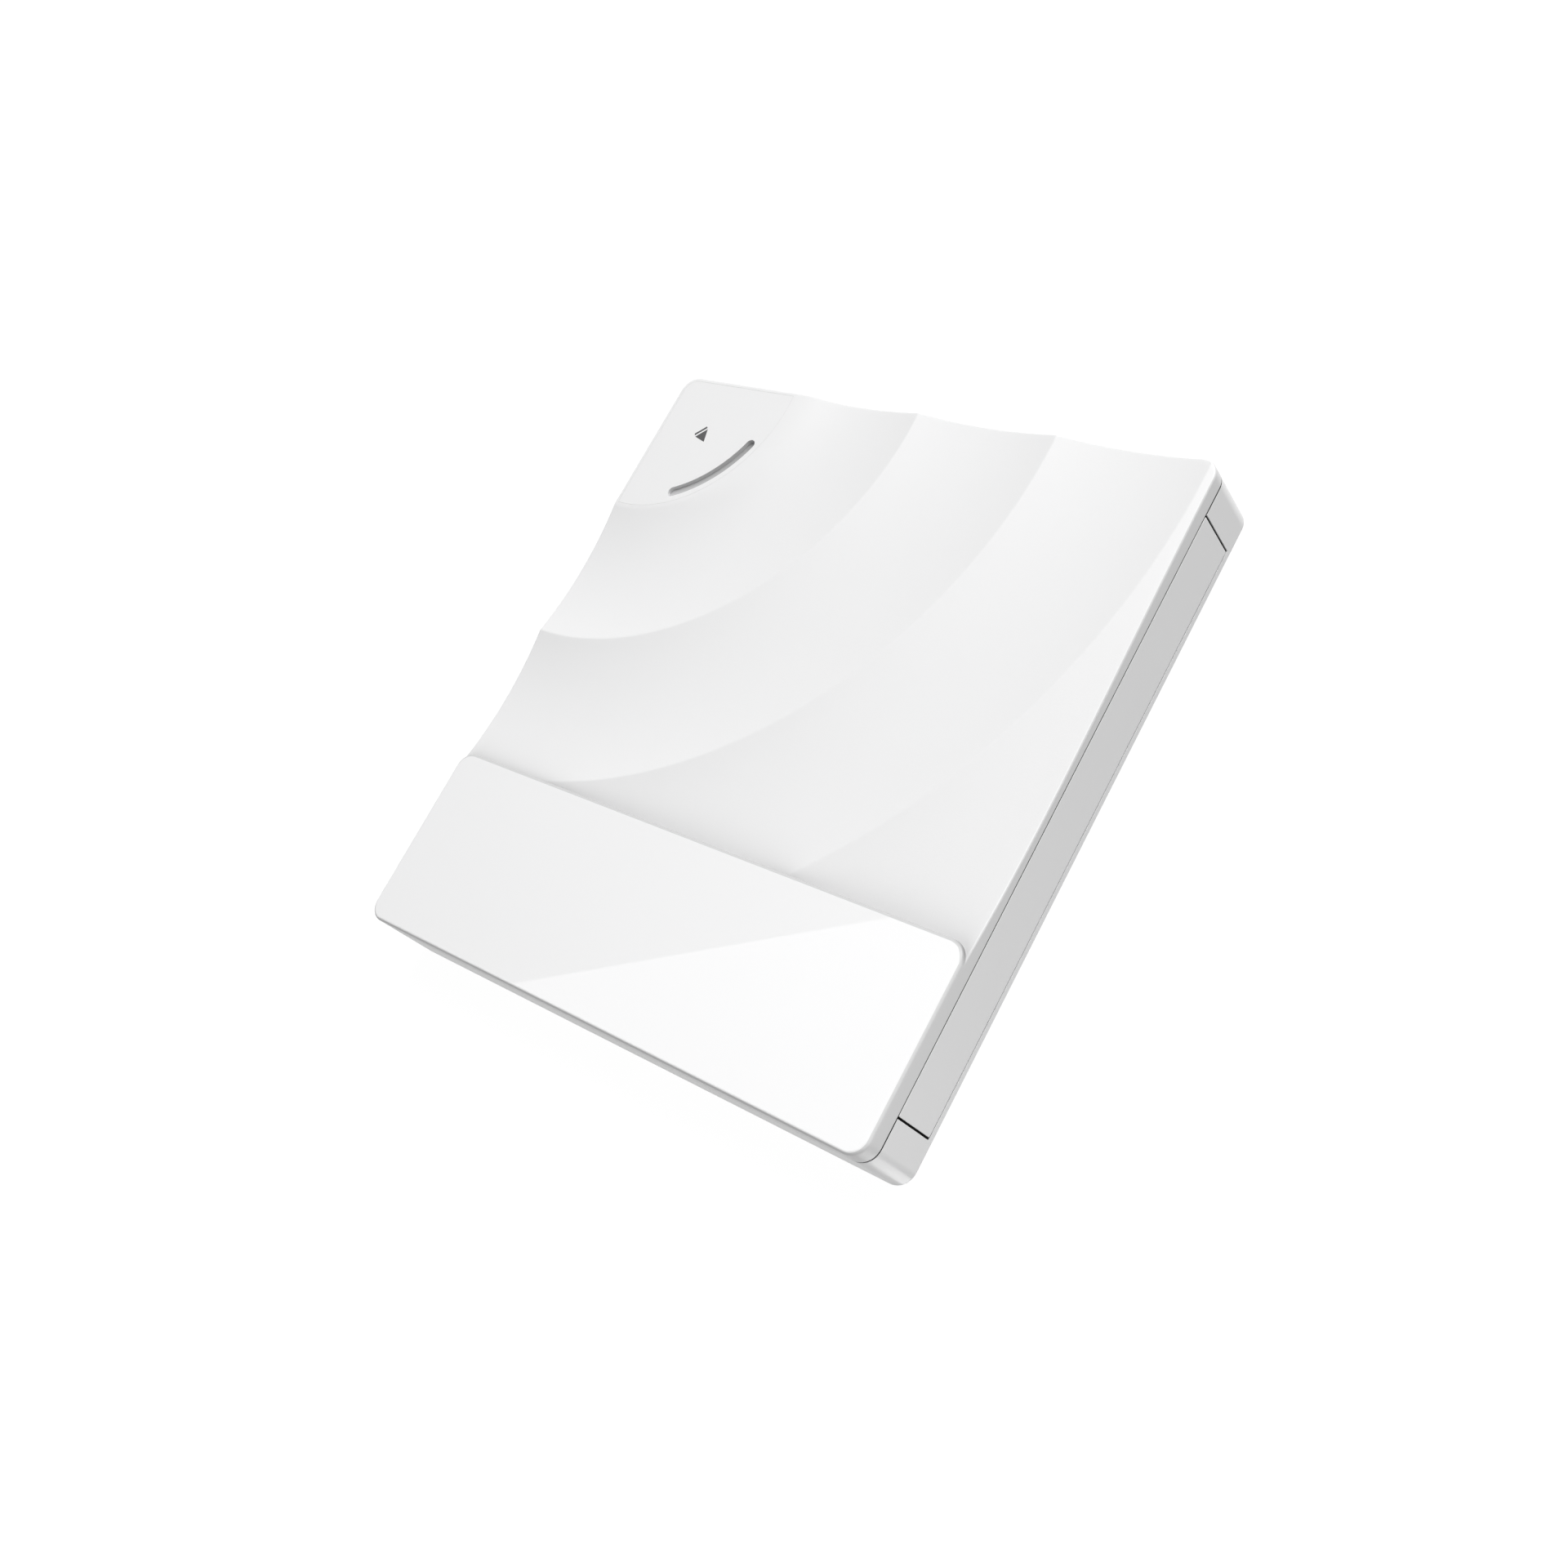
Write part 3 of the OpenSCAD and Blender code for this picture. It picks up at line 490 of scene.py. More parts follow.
def white_grain():
    """Cover plastic: fine spark-eroded grain on top, smoother on the walls; painted shade darkens the walls
    and the top where it meets the panel's step.
    """
    f = Finish("white_grain", WHITE, 0.5, specular_ior_level=0.4)
    at = f.place()
    up = f.facing_up()
    grain = f.noise(at, 0.32, detail=3.0, roughness=0.6)
    cloud = f.noise(at, 14.0)
    x, y, z = f.axes(at)
    # Painted shade: distance from the panel's outline, fading faster where the step up to the panel is low.
    dx = (x - (PANEL_X - PANEL_R)).at_least(0.0)
    dy = (y.size() - (HALF_D - PANEL_R)).at_least(0.0)
    off = (dx * dx + dy * dy).power(0.5) - PANEL_R
    step = (Z_TOP - z) * FOOT_SHADE_REACH
    painted_foot_shade = (off * -1 / step).exponent().held()
    top = f.mix(cloud, tint(WHITE, 0.992), tint(WHITE, 1.004))
    top = f.mix(painted_foot_shade * FOOT_SHADE_DEPTH, top, tint(WHITE, PAINTED_FOOT_SHADE))
    # Walls get the painted wall shade; tops keep their white with the painted shade beside the panel.
    f.set("Base Color", f.mix(up, tint(WHITE, PAINTED_WALL_SHADE), top))
    f.set("Roughness", 0.36 + up * (0.1 + 0.12 * grain))
    f.bump(grain * (0.25 + 0.75 * up), 0.02, strength=0.6)
    return f.material


def white_satin():
    """Lower shell and tray front: the same white with a silky mould finish."""
    f = Finish("white_satin", WHITE, 0.36, specular_ior_level=0.45)
    at = f.place()
    grain = f.noise(at, 0.22, detail=2.0)
    cloud = f.noise(at, 10.0)
    f.set("Base Color", f.mix(cloud, tint(WHITE, 0.905), tint(WHITE, 0.92)))
    f.set("Roughness", 0.3 + 0.12 * grain)
    f.bump(grain, 0.005, strength=0.4)
    return f.material


def white_gloss():
    """Side panel: polished white on top, duller on its edges; painted light pales the top towards the
    front, painted shade darkens the walls, most where they face inwards and in the front notch.
    """
    f = Finish("white_gloss", tint(WHITE, 1.07), 0.04)
    at = f.place()
    peel = f.noise(at, 6.0, detail=1.0)
    nx, ny, nz = f.facing()
    inner = nx.held()
    up = (nz - inner * INNER_CUT).above(PANEL_FLAT)
    _, y, _ = f.axes(at)
    # Painted light: the top pales from back to front, with a little random tone.
    flow_and_painted_light = (HALF_D - y) / (2 * HALF_D) + 0.3 * f.noise(at, 30.0)
    top = f.mix(flow_and_painted_light.held(), tint(WHITE, 1.07), tint(WHITE, 1.105))
    # Painted shade: walls darker, more where they face the ripples and most in the inner front notch.
    notch_shade = (inner * ny * -2).held()
    wall = f.mix(inner, tint(WHITE, PAINTED_WALL_SHADE), tint(WHITE, PAINTED_INNER_SHADE))
    wall = f.mix(notch_shade, wall, tint(WHITE, PAINTED_NOTCH_SHADE))
    f.set("Base Color", f.mix(up, wall, top))
    f.set("Roughness", 0.34 - 0.33 * up + 0.01 * peel)
    return f.material


def moulded(name, colour, roughness=0.45, grain_mm=0.25, depth_mm=0.012):
    """Plain moulded or cast surface with a grain and slight flow marks."""
    f = Finish(name, colour, roughness)
    at = f.place()
    grain = f.noise(at, grain_mm, detail=3.0, roughness=0.6)
    flow_and_painted_light = f.noise(f.stretched(at, (1.0, 0.25, 1.0)), 5.0)
    f.set("Base Color", f.mix(flow_and_painted_light, tint(colour, 0.88), tint(colour, 1.12)))
    f.set("Roughness", roughness - 0.06 + 0.14 * grain)
    f.bump(grain, depth_mm, strength=0.6)
    return f.material


def rubber():
    """Feet, dampers and turntable ring: dull rubber with a little dust in its pores."""
    colour = (0.045, 0.045, 0.047)
    f = Finish("rubber", colour, 0.85, specular_ior_level=0.25)
    at = f.place()
    pores = f.noise(at, 0.18, detail=4.0, roughness=0.7)
    f.set("Base Color", f.mix(pores.power(2.0), tint(colour, 0.8), tint(colour, 1.9)))
    f.bump(pores, 0.03, strength=0.7)
    return f.material


def painted_shade_foam():
    """Dull black foamed plastic with open cells, used for the dark strips that are painted shade in the
    seam gaps.
    """
    colour = (0.006, 0.006, 0.006)
    f = Finish("painted_shade_foam", colour, 0.95, specular_ior_level=0.05)
    cells = f.noise(f.place(), 0.15, detail=3.0, roughness=0.6)
    f.set("Base Color", f.mix(cells, tint(colour, 0.5), tint(colour, 1.5)))
    f.bump(cells, 0.03, strength=0.6)
    return f.material


def sheet_steel(name, colour, spangle_mm=1.6):
    """Zinc coated sheet: faint crystal patches under fine rolling lines."""
    f = Finish(name, colour, 0.36, 1.0)
    at = f.place()
    spangle = f.node("ShaderNodeTexVoronoi", {"feature": "SMOOTH_F1"},
                     {"Vector": at, "Scale": 1 / spangle_mm, "Smoothness": 0.4}, out="Color")
    patch = f.axes(spangle)[0]
    lines = f.noise(f.stretched(at, (6.0, 0.15, 6.0)), 0.5, detail=3.0)
    f.set("Base Color", f.mix(patch * 0.5 + lines * 0.5, tint(colour, 0.84), tint(colour, 1.12)))
    f.set("Roughness", 0.28 + 0.05 * patch + 0.16 * lines)
    f.bump(lines, 0.006, strength=0.6)
    return f.material


def turned_steel(name, colour, roughness=0.22):
    """Ground rods, shafts and screws: bright metal with fine tool lines."""
    f = Finish(name, colour, roughness, 1.0)
    at = f.place()
    lines = f.noise(at, 0.12, detail=2.0)
    f.set("Base Color", f.mix(f.noise(at, 2.0), tint(colour, 0.9), tint(colour, 1.08)))
    f.set("Roughness", roughness - 0.05 + 0.12 * lines)
    f.bump(lines, 0.003, strength=0.5)
    return f.material


def circuit_green():
    """Solder mask over copper tracks, with plated dots."""
    mask = (0.012, 0.10, 0.035)
    f = Finish("circuit_green", mask, 0.3, coat_weight=0.4, coat_roughness=0.15)
    at = f.place()
    x, y, _ = f.axes(at)
    block = f.node("ShaderNodeTexVoronoi", {"feature": "F1", "distance": "MANHATTAN"},
                   {"Vector": at, "Scale": 1 / 4.5}, out="Color")
    across = f.axes(block)[0].above(0.5)
    wave_x = (x * TRACK_RATE).sine()
    wave_y = (y * TRACK_RATE).sine()
    tracks = (wave_x * across + wave_y * (1 - across)).above(0.35)
    dots = f.node("ShaderNodeTexVoronoi", {"feature": "F1"},
                  {"Vector": at, "Scale": 1 / 1.9}, out="Distance")
    pads = 1 - dots.above(0.16)
    green = f.mix(tracks, mask, (0.02, 0.17, 0.06))
    f.set("Base Color", f.mix(pads, green, (0.75, 0.72, 0.62)))
    f.set("Metallic", pads)
    f.bump(tracks, 0.03, strength=0.5)
    return f.material


def chip_black():
    """Moulded chip bodies with a matt, slightly speckled face."""
    colour = (0.014, 0.014, 0.015)
    f = Finish("chip_black", colour, 0.55)
    at = f.place()
    speck = f.noise(at, 0.1, detail=2.0)
    f.set("Base Color", f.mix(speck, tint(colour, 0.7), tint(colour, 1.9)))
    f.set("Roughness", 0.45 + 0.2 * speck)
    f.bump(speck, 0.01, strength=0.4)
    return f.material


def copper_winding():
    """Coils of lacquered wire, darkened in the grooves between turns as painted shade."""
    colour = (0.62, 0.24, 0.09)
    f = Finish("copper_winding", colour, 0.3, 1.0)
    at = f.place()
    _, _, z = f.axes(at)
    turns = (z * COIL_RATE).sine() * 0.5 + 0.5
    # Painted shade: darker in the grooves between the turns.
    f.set("Base Color", f.mix(turns, tint(colour, 0.35), tint(colour, 1.1)))
    f.set("Roughness", 0.25 + 0.2 * turns)
    f.bump(turns, 0.08, strength=0.8)
    return f.material


def amber_flex(name, side):
    """Amber flat cable with copper tracks showing through, side by side along the given way."""
    film = (0.42, 0.17, 0.02)
    f = Finish(name, film, 0.3, coat_weight=0.5, coat_roughness=0.1)
    across = f.node("ShaderNodeVectorMath", {"operation": "DOT_PRODUCT"},
                    {0: f.place(), 1: (*side, 0.0)}, out="Value")
    tracks = (across * WIRE_RATE).sine().above(0.1)
    f.set("Base Color", f.mix(tracks, film, (0.62, 0.33, 0.10)))
    f.set("Roughness", 0.22 + 0.1 * tracks)
    f.bump(tracks, 0.02, strength=0.4)
    return f.material


def white_ribbon():
    """Flat cable of parallel wires in white film, darkened in the grooves between wires as painted shade.
    """
    film = (0.78, 0.78, 0.76)
    f = Finish("white_ribbon", film, 0.4)
    _, y, _ = f.axes(f.place())
    wires = (y * WIRE_RATE).sine() * 0.5 + 0.5
    # Painted shade: darker in the grooves between the wires.
    f.set("Base Color", f.mix(wires, tint(film, 0.8), film))
    f.bump(wires, 0.04, strength=0.5)
    return f.material


def natural_acetal():
    """Natural slippery plastic of claws, lever and follower."""
    colour = (0.78, 0.77, 0.72)
    f = Finish("natural_acetal", colour, 0.32, subsurface_weight=0.1, subsurface_scale=0.001)
    at = f.place()
    f.set("Base Color", f.mix(f.noise(at, 1.2), tint(colour, 0.93), tint(colour, 1.03)))
    f.set("Roughness", 0.26 + 0.12 * f.noise(at, 0.3))
    return f.material


def frosted_bar():
    """Light guide in the slot: frosted grey with painted shade, paler towards its left end and darker
    towards its right.
    """
    colour = (0.54, 0.54, 0.545)
    f = Finish("frosted_bar", colour, 0.45)
    at = f.place()
    frost = f.noise(at, 0.25, detail=3.0)
    x, _, _ = f.axes(at)
    # Painted shade: the bar darkens from its left end to its right end, with a little random tone.
    right = (x - BAR_LO.x) / (BAR_HI.x - BAR_LO.x) + 0.15 * (frost - 0.5)
    f.set("Base Color", f.mix(right.held(), tint(colour, 1.12), tint(colour, 0.62)))
    f.set("Roughness", 0.38 + 0.14 * frost)
    f.bump(frost, 0.01, strength=0.4)
    return f.material


def lens_glass():
    """Coated objective lens with a violet bloom."""
    f = Finish("lens_glass", (0.55, 0.62, 0.85), 0.03, coat_weight=1.0,
               coat_tint=(0.75, 0.6, 1.0, 1.0))
    at = f.place()
    f.set("Base Color", f.mix(f.noise(at, 2.5), (0.10, 0.14, 0.30), (0.22, 0.20, 0.46)))
    return f.material


def clear_lamp():
    """Small lamp: clear resin over a pale chip."""
    colour = (0.80, 0.78, 0.62)
    f = Finish("clear_lamp", colour, 0.15, coat_weight=0.6)
    at = f.place()
    f.set("Base Color", f.mix(f.noise(at, 0.6), tint(colour, 0.8), tint(colour, 1.1)))
    return f.material


def dark_print():
    """Printed mark on the key."""
    colour = (0.1, 0.1, 0.102)
    f = Finish("dark_print", colour, 0.5)
    at = f.place()
    f.set("Base Color", f.mix(f.noise(at, 0.2), tint(colour, 0.85), tint(colour, 1.15)))
    f.set("Roughness", 0.42 + 0.14 * f.noise(at, 0.15))
    return f.material


ZINC = (0.62, 0.63, 0.64)
FINISHES = {
    "grain": white_grain(),
    "satin": white_satin(),
    "gloss": white_gloss(),
    "rubber": rubber(),
    "sheet": sheet_steel("zinc_sheet", ZINC),
    "pressed": sheet_steel("pressed_sheet", (0.52, 0.53, 0.54), 1.1),
    "bright": turned_steel("bright_steel", (0.70, 0.70, 0.71), 0.2),
    "ground": turned_steel("ground_steel", (0.78, 0.78, 0.79), 0.12),
    "dark_screw": turned_steel("dark_screw", (0.20, 0.20, 0.21), 0.35),
    "tray": moulded("tray_plastic", (0.030, 0.030, 0.032), 0.5, 0.3),
    "black": moulded("black_plastic", (0.022, 0.022, 0.023), 0.42),
    "painted_shade_foam": painted_shade_foam(),
    "hub": moulded("hub_plastic", (0.62, 0.62, 0.62), 0.3, 0.2, 0.004),
    "circuit": circuit_green(),
    "chip": chip_black(),
    "copper": copper_winding(),
    "flex": amber_flex("drive_film", (1.0, 0.0)),
    "unit_flex": amber_flex("unit_film", ACROSS),
    "cast": moulded("cast_zinc", (0.20, 0.20, 0.21), 0.42, 0.35, 0.02),
    "ribbon": white_ribbon(),
    "acetal": natural_acetal(),
    "frosted": frosted_bar(),
    "lens": lens_glass(),
    "lamp": clear_lamp(),
    "print": dark_print(),
}

NODE_FINISH = {
    "satin": ["bottom_case", "tray_bezel"],
    "grain": ["top_cover", "eject_key"],
    "gloss": ["gloss_panel"],
    "rubber": ["rubber_feet", "dampers", "turntable_ring"],
    "sheet": ["drive_pan", "drive_lid", "tray_plate", "usb_shell"],
    "pressed": ["unit_frame", "spindle_base", "left_rail", "right_rail", "stepper_motor"],
    "bright": ["case_screws", "latch_post", "kick_pin", "lead_screw", "rotor_cup"],
    "ground": ["guide_rods", "spindle_shaft"],
    "dark_screw": ["lid_screws", "damper_screws"],
    "tray": ["tray"],
    "black": ["usb_tongue", "sata_socket", "sata_plug", "tact_switch", "switch_plunger", "left_guide",
              "right_guide", "turntable", "lens_holder"],
    "cast": ["pickup_sled"],
    "hub": ["clamp_hub"],
    "circuit": ["bridge_board", "key_board", "interface_board", "main_board"],
    "chip": ["bridge_chips", "main_chips"],
    "copper": ["latch_solenoid", "stator"],
    "flex": ["drive_flex"],
    "ribbon": ["key_ribbon"],
    "acetal": ["claw_a", "claw_b", "claw_c", "rack_follower", "latch_lever"],
    "frosted": ["light_bar"],
    "lens": ["objective_lens"],
    "lamp": ["status_led"],
}


def finish_nodes():
    """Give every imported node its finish."""
    for key, nodes in NODE_FINISH.items():
        for node in nodes:
            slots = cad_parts[node].data.materials
            slots.clear()
            slots.append(FINISHES[key])


# Meshes

SHARP_EDGE = math.radians(40)


def shaded(bm):
    """Smooth faces, with a hard line only where two faces meet at a clear angle."""
    bmesh.ops.recalc_face_normals(bm, faces=bm.faces)
    for face in bm.faces:
        face.smooth = True
    for edge in bm.edges:
        edge.smooth = not (edge.is_manifold and edge.calc_face_angle() > SHARP_EDGE)


def placed(name, data):
    """A new object in the scene for this mesh, light or camera."""
    made = bpy.data.objects.new(name, data)
    bpy.context.scene.collection.objects.link(made)
    return made


def piece(name, bm, finish, body, *nodes):
    """The mesh as an object in metres that rides on a body and stands for these nodes."""
    mesh = bpy.data.meshes.new(name)
    shaded(bm)
    bm.to_mesh(mesh)
    bm.free()
    mesh.materials.append(FINISHES[finish])
    made = placed(name, mesh)
    even = made.modifiers.new("even_faces", "WEIGHTED_NORMAL")
    even.keep_sharp = True
    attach(made, body)
    if nodes:
        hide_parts(*nodes)
    return made


def ring_edges(bm, ring):
    """The edges round a ring of points."""
    return [bm.edges.get((a, b)) or bm.edges.new((a, b)) for a, b in zip(ring, ring[1:] + ring[:1])]


def bridge(bm, low, high):
    """Faces between two rings with the same number of points."""
    for i in range(len(low)):
        j = (i + 1) % len(low)
        bm.faces.new((low[i], low[j], high[j], high[i]))


def edge_profile(z0, z1, low_r, high_r, steps=4):
    """Steps of (inset, height) up the side of a plate with rounded edges."""
    quarter = [math.pi / 2 * i / steps for i in range(steps + 1)]
    low = [(low_r * (1 - math.sin(q)), z0 + low_r * (1 - math.cos(q))) for q in quarter]
    high = [(high_r * (1 - math.cos(q)), z1 - high_r * (1 - math.sin(q))) for q in quarter]
    return (low if low_r else [(0.0, z0)]) + (high if high_r else [(0.0, z1)])


def add_plate(bm, walls, to_place=None):
    """Closed plate. Each wall is an outline, as a function of the inset, and its (inset, height) steps."""
    caps = ([], [])
    made = []
    for outline, steps in walls:
        rings = [[bm.verts.new((x, y, z)) for x, y in outline(inset)] for inset, z in steps]
        for low, high in zip(rings, rings[1:]):
            bridge(bm, low, high)
        caps[0].extend(ring_edges(bm, rings[0]))
        caps[1].extend(ring_edges(bm, rings[-1]))
        made += [v for ring in rings for v in ring]
    for edges in caps:
        bmesh.ops.triangle_fill(bm, edges=edges, use_beauty=True)
    bmesh.ops.transform(bm, matrix=Matrix.Scale(MM, 4) @ (to_place or Matrix()), verts=made)


def gloss_panel():
    """Raised side panel with a rounded upper edge."""
    bm = bmesh.new()
    add_plate(bm, [(panel_loop, edge_profile(Z_SHELF, Z_TOP, 0, PANEL_EDGE, PANEL_EDGE_STEPS))])
    return piece("side_panel", bm, "gloss", "case", "gloss_panel")


def eject_key():
    """Corner key with its curved slot, and the stem that reaches down to the switch."""
    bm = bmesh.new()
    rim = edge_profile(Z_KEY, Z_FLAT, 0, KEY_EDGE, KEY_EDGE_STEPS)
    slot = edge_profile(Z_KEY, Z_FLAT, 0, SLOT_EDGE)
    add_plate(bm, [(lambda inset: key_loop(KEY_RIM + KEY_GAP + inset, KEY_GAP + inset), rim),
                   (lambda inset: slot_loop(SLOT_HALF + inset), slot)])
    plunger = middle("switch_plunger")
    stem = edge_profile(box_mm("switch_plunger")[1].z, Z_KEY, 0, 0)
    add_plate(bm, [(lambda inset: circle(plunger, STEM_R - inset), stem)])
    return piece("corner_key", bm, "grain", "eject_key", "eject_key")


def light_guide():
    """Bar that fills the bottom of the curved slot."""
    bm = bmesh.new()
    add_plate(bm, [(lambda inset: slot_loop(SLOT_HALF - GUIDE_GAP - inset),
                    edge_profile(BAR_LO.z, BAR_HI.z + GUIDE_RISE, 0, GUIDE_EDGE))])
    return piece("light_guide", bm, "frosted", "eject_key", "light_bar")


def eject_mark():
    """Printed triangle over a bar, turned to face the corner."""
    out = Vector((1, 1)).normalized()
    along = Vector((1, -1)).normalized()
    base = Vector(RING_AT) - Vector(MARK_AT)
    bar = base + out * MARK_GAP
    half = along * MARK_HALF
    shapes = [[base - half, base + half, base - out * MARK_LONG],
              [bar - half, bar + half, bar + half + out * MARK_BAR, bar - half + out * MARK_BAR]]
    steps = [(0, Z_FLAT), (0, Z_FLAT + MARK_T)]
    bm = bmesh.new()
    for shape in shapes:
        add_plate(bm, [(lambda inset, s=shape: [tuple(p) for p in s], steps)])
    return piece("eject_mark", bm, "print", "eject_key")


# Stands a plate up, with its upper face towards the front
UPRIGHT = Matrix(((1, 0, 0, 0), (0, 0, -1, 0), (0, 1, 0, 0), (0, 0, 0, 1)))


def tray_front():
    """Tray front: a plain plate with softened edges."""
    def outline(inset):
        end = BEZEL_END + inset
        return round_rect(BEZEL_LO.x + end, BEZEL_HI.x - end, BEZEL_LO.z + BEZEL_FOOT + inset,
                          BEZEL_HI.z + BEZEL_RISE - inset, [BEZEL_R - inset] * 4, BEZEL_R_STEPS)
    bm = bmesh.new()
    add_plate(bm, [(outline, edge_profile(-BEZEL_HI.y, -BEZEL_LO.y, 0, BEZEL_EDGE))], UPRIGHT)
    return piece("tray_front", bm, "satin", "tray", "tray_bezel")


def front_shade_strip():
    """Dark lip round the edge of the tray front, set back from its face: a dark strip put in the gap as
    painted shade.
    """
    def outline(end, edge):
        return round_rect(BEZEL_LO.x - end, BEZEL_HI.x + end, BEZEL_LO.z - edge, BEZEL_HI.z + edge,
                          [BEZEL_R] * 4, BEZEL_R_STEPS)
    y = -BEZEL_LO.y - FRONT_SHADE_BACK
    steps = [(0, y - FRONT_SHADE_DEPTH), (0, y)]
    bm = bmesh.new()
    add_plate(bm, [(lambda inset: outline(FRONT_SHADE_END, FRONT_SHADE_PROUD), steps),
                   (lambda inset: outline(-FRONT_SHADE_IN, -FRONT_SHADE_IN), steps)], UPRIGHT)
    return piece("front_shade_strip", bm, "painted_shade_foam", "tray")


def seam_shade_strip():
    """Dark lip in the seam between cover and lower shell, raised above the tray front to clear it: painted
    shade put in the seam gap.
    """
    top = Z_COVER - SEAM_CLEAR
    left = BEZEL_LO.x - SEAM_END
    right = BEZEL_HI.x + SEAM_END
    near = SEAM_BACK - HALF_D
    far = near + SEAM_DEPTH
    outer = [(right, near)] + around_from_front(SEAM_BACK) + [(left, near)]
    inner = [(right, far)] + around_from_front(SEAM_BACK + SEAM_DEPTH) + [(left, far)]
    front = [(left, near), (right, near), (right, far), (left, far)]
    bm = bmesh.new()
    add_plate(bm, [(lambda inset: outer + inner[::-1], [(0, Z_SEAM + SEAM_CLEAR), (0, top)])])
    add_plate(bm, [(lambda inset: front, [(0, Z_SEAM + SEAM_LIFT), (0, top)])])
    return piece("seam_shade_strip", bm, "painted_shade_foam", "case")


def top_points():
    """Points spread evenly over the ripples, ring by ring."""
    out = []
    steps = int(RING_PITCH / RING_STEP)
    span = math.radians(RIPPLE_SPAN[1] - RIPPLE_SPAN[0])
    for n in range(RING_COUNT):
        for i in range(steps):
            r = RING_R + n * RING_PITCH + RING_PITCH * i / steps
            out += arc(RING_AT, r, *RIPPLE_SPAN, int(span * r / ARC_STEP))
    return [p for p in out if edge_distance(*p) > EDGE_R + EDGE_CLEAR]


def ridge_lines():
    """The ridges, and lines beside them across the width of their rounding."""
    lines = []
    span = math.radians(RIDGE_SPAN[1] - RIDGE_SPAN[0])
    for n in range(RING_COUNT):
        width = RIDGE_SOFT if n else FIRST_SOFT
        for off in (-width, -width / 2, 0, width / 2, width):
            r = RING_R + n * RING_PITCH + off
            if n or off > 0:
                lines.append(arc(RING_AT, r, *RIDGE_SPAN, int(span * r / RIDGE_STEP)))
    return lines


def plan_triangles(key_hole):
    """The cover's plan cut into triangles along every edge, ridge and rounding line."""
    points, edges = [], []

    def add(line, closed):
        first = len(points)
        points.extend(Vector(p) for p in line)
        n = len(line)
        edges.extend((first + i, first + (i + 1) % n) for i in range(n if closed else n - 1))

    turn = math.pi / (2 * EDGE_STEPS)
    for i in range(EDGE_STEPS + 1):
        add(spaced(case_loop(EDGE_R * (1 - math.cos(turn * i))), OUTLINE_STEP), True)
    add(spaced(panel_loop(0.0), OUTLINE_STEP), True)
    add(key_hole, True)
    for line in ridge_lines():
        add(line, False)
    points.extend(Vector(p) for p in top_points())
    plan, _, faces, _, _, _ = delaunay_2d_cdt(points, edges, [], 0, SAME_POINT, False)
    return plan, faces


def cover_top(bm, key_hole):
    """The rippled top and the panel's shelf, with the step between them. Gives the edges left open."""
    plan, faces = plan_triangles(key_hole)
    outline = case_loop(0.0)
    shelf = panel_loop(0.0)
    # Corners made so far on the top and on the shelf
    levels = ({}, {})

    def corner(index, on_shelf):
        made = levels[on_shelf]
        if index not in made:
            x, y = plan[index]
            made[index] = bm.verts.new((x, y, Z_SHELF if on_shelf else top_height(x, y)))
        return made[index]

    for face in faces:
        mid = [sum(plan[i][k] for i in face) / 3 for k in (0, 1)]
        if edge_distance(*mid) > 0 and not inside(mid, key_hole) and inside(mid, outline):
            on_shelf = inside(mid, shelf)
            bm.faces.new([corner(i, on_shelf) for i in face])
    open_edges = [e for e in bm.edges if e.is_boundary]
    upper = {v: i for i, v in levels[0].items()}
    step = [e for e in open_edges if all(v in upper and upper[v] in levels[1] for v in e.verts)]
    for edge in step:
        a, b = edge.verts
        wall = [a, b, levels[1][upper[b]], levels[1][upper[a]]]
        if min((a.co - wall[3].co).length, (b.co - wall[2].co).length) > NO_STEP:
            bm.faces.new(wall)
    return [e for e in bm.edges if e.is_boundary]


def drop_walls(bm, edges, z):
    """Walls from these edges straight down to height z. Gives the lower edges."""
    made = bmesh.ops.extrude_edge_only(bm, edges=edges)["geom"]
    for v in made:
        if isinstance(v, bmesh.types.BMVert):
            v.co.z = z
    return [e for e in made if isinstance(e, bmesh.types.BMEdge) and e.is_boundary]


def top_cover():
    """Rippled cover as one closed shell: top, shelf, walls, seam edge, ceiling and the key's pocket."""
    def by_pocket(v):
        return edge_distance(*v.co.xy) > KEY_RIM / 2 and v.co.z > Z_SHELF

    bm = bmesh.new()
    key_hole = key_loop(KEY_RIM, 0.0)
    open_edges = cover_top(bm, key_hole)
    pocket = [e for e in open_edges if all(by_pocket(v) for v in e.verts)]
    rim = [e for e in open_edges if e not in set(pocket)]
    low_rim = drop_walls(bm, rim, Z_COVER + SEAM_EDGE)
    low_pocket = drop_walls(bm, pocket, Z_LEDGE)
    inner = [bm.verts.new((x, y, Z_COVER)) for x, y in case_loop(WALL)]
    ceiling = [bm.verts.new((x, y, Z_CEIL)) for x, y in case_loop(WALL)]
    bridge(bm, inner, ceiling)
    ledge = [bm.verts.new((x, y, Z_LEDGE)) for x, y in key_loop(LEDGE_RIM, LEDGE_GAP)]
    throat = [bm.verts.new((x, y, Z_CEIL)) for x, y in key_loop(LEDGE_RIM, LEDGE_GAP)]
    bridge(bm, ledge, throat)
    for edges in (low_rim + ring_edges(bm, inner), low_pocket + ring_edges(bm, ledge),
                  ring_edges(bm, ceiling) + ring_edges(bm, throat)):
        bmesh.ops.triangle_fill(bm, edges=edges, use_beauty=True)
    bmesh.ops.scale(bm, vec=(MM, MM, MM), verts=bm.verts)
    return piece("ripple_cover", bm, "grain", "case", "top_cover")


# Pickup and what lies under it

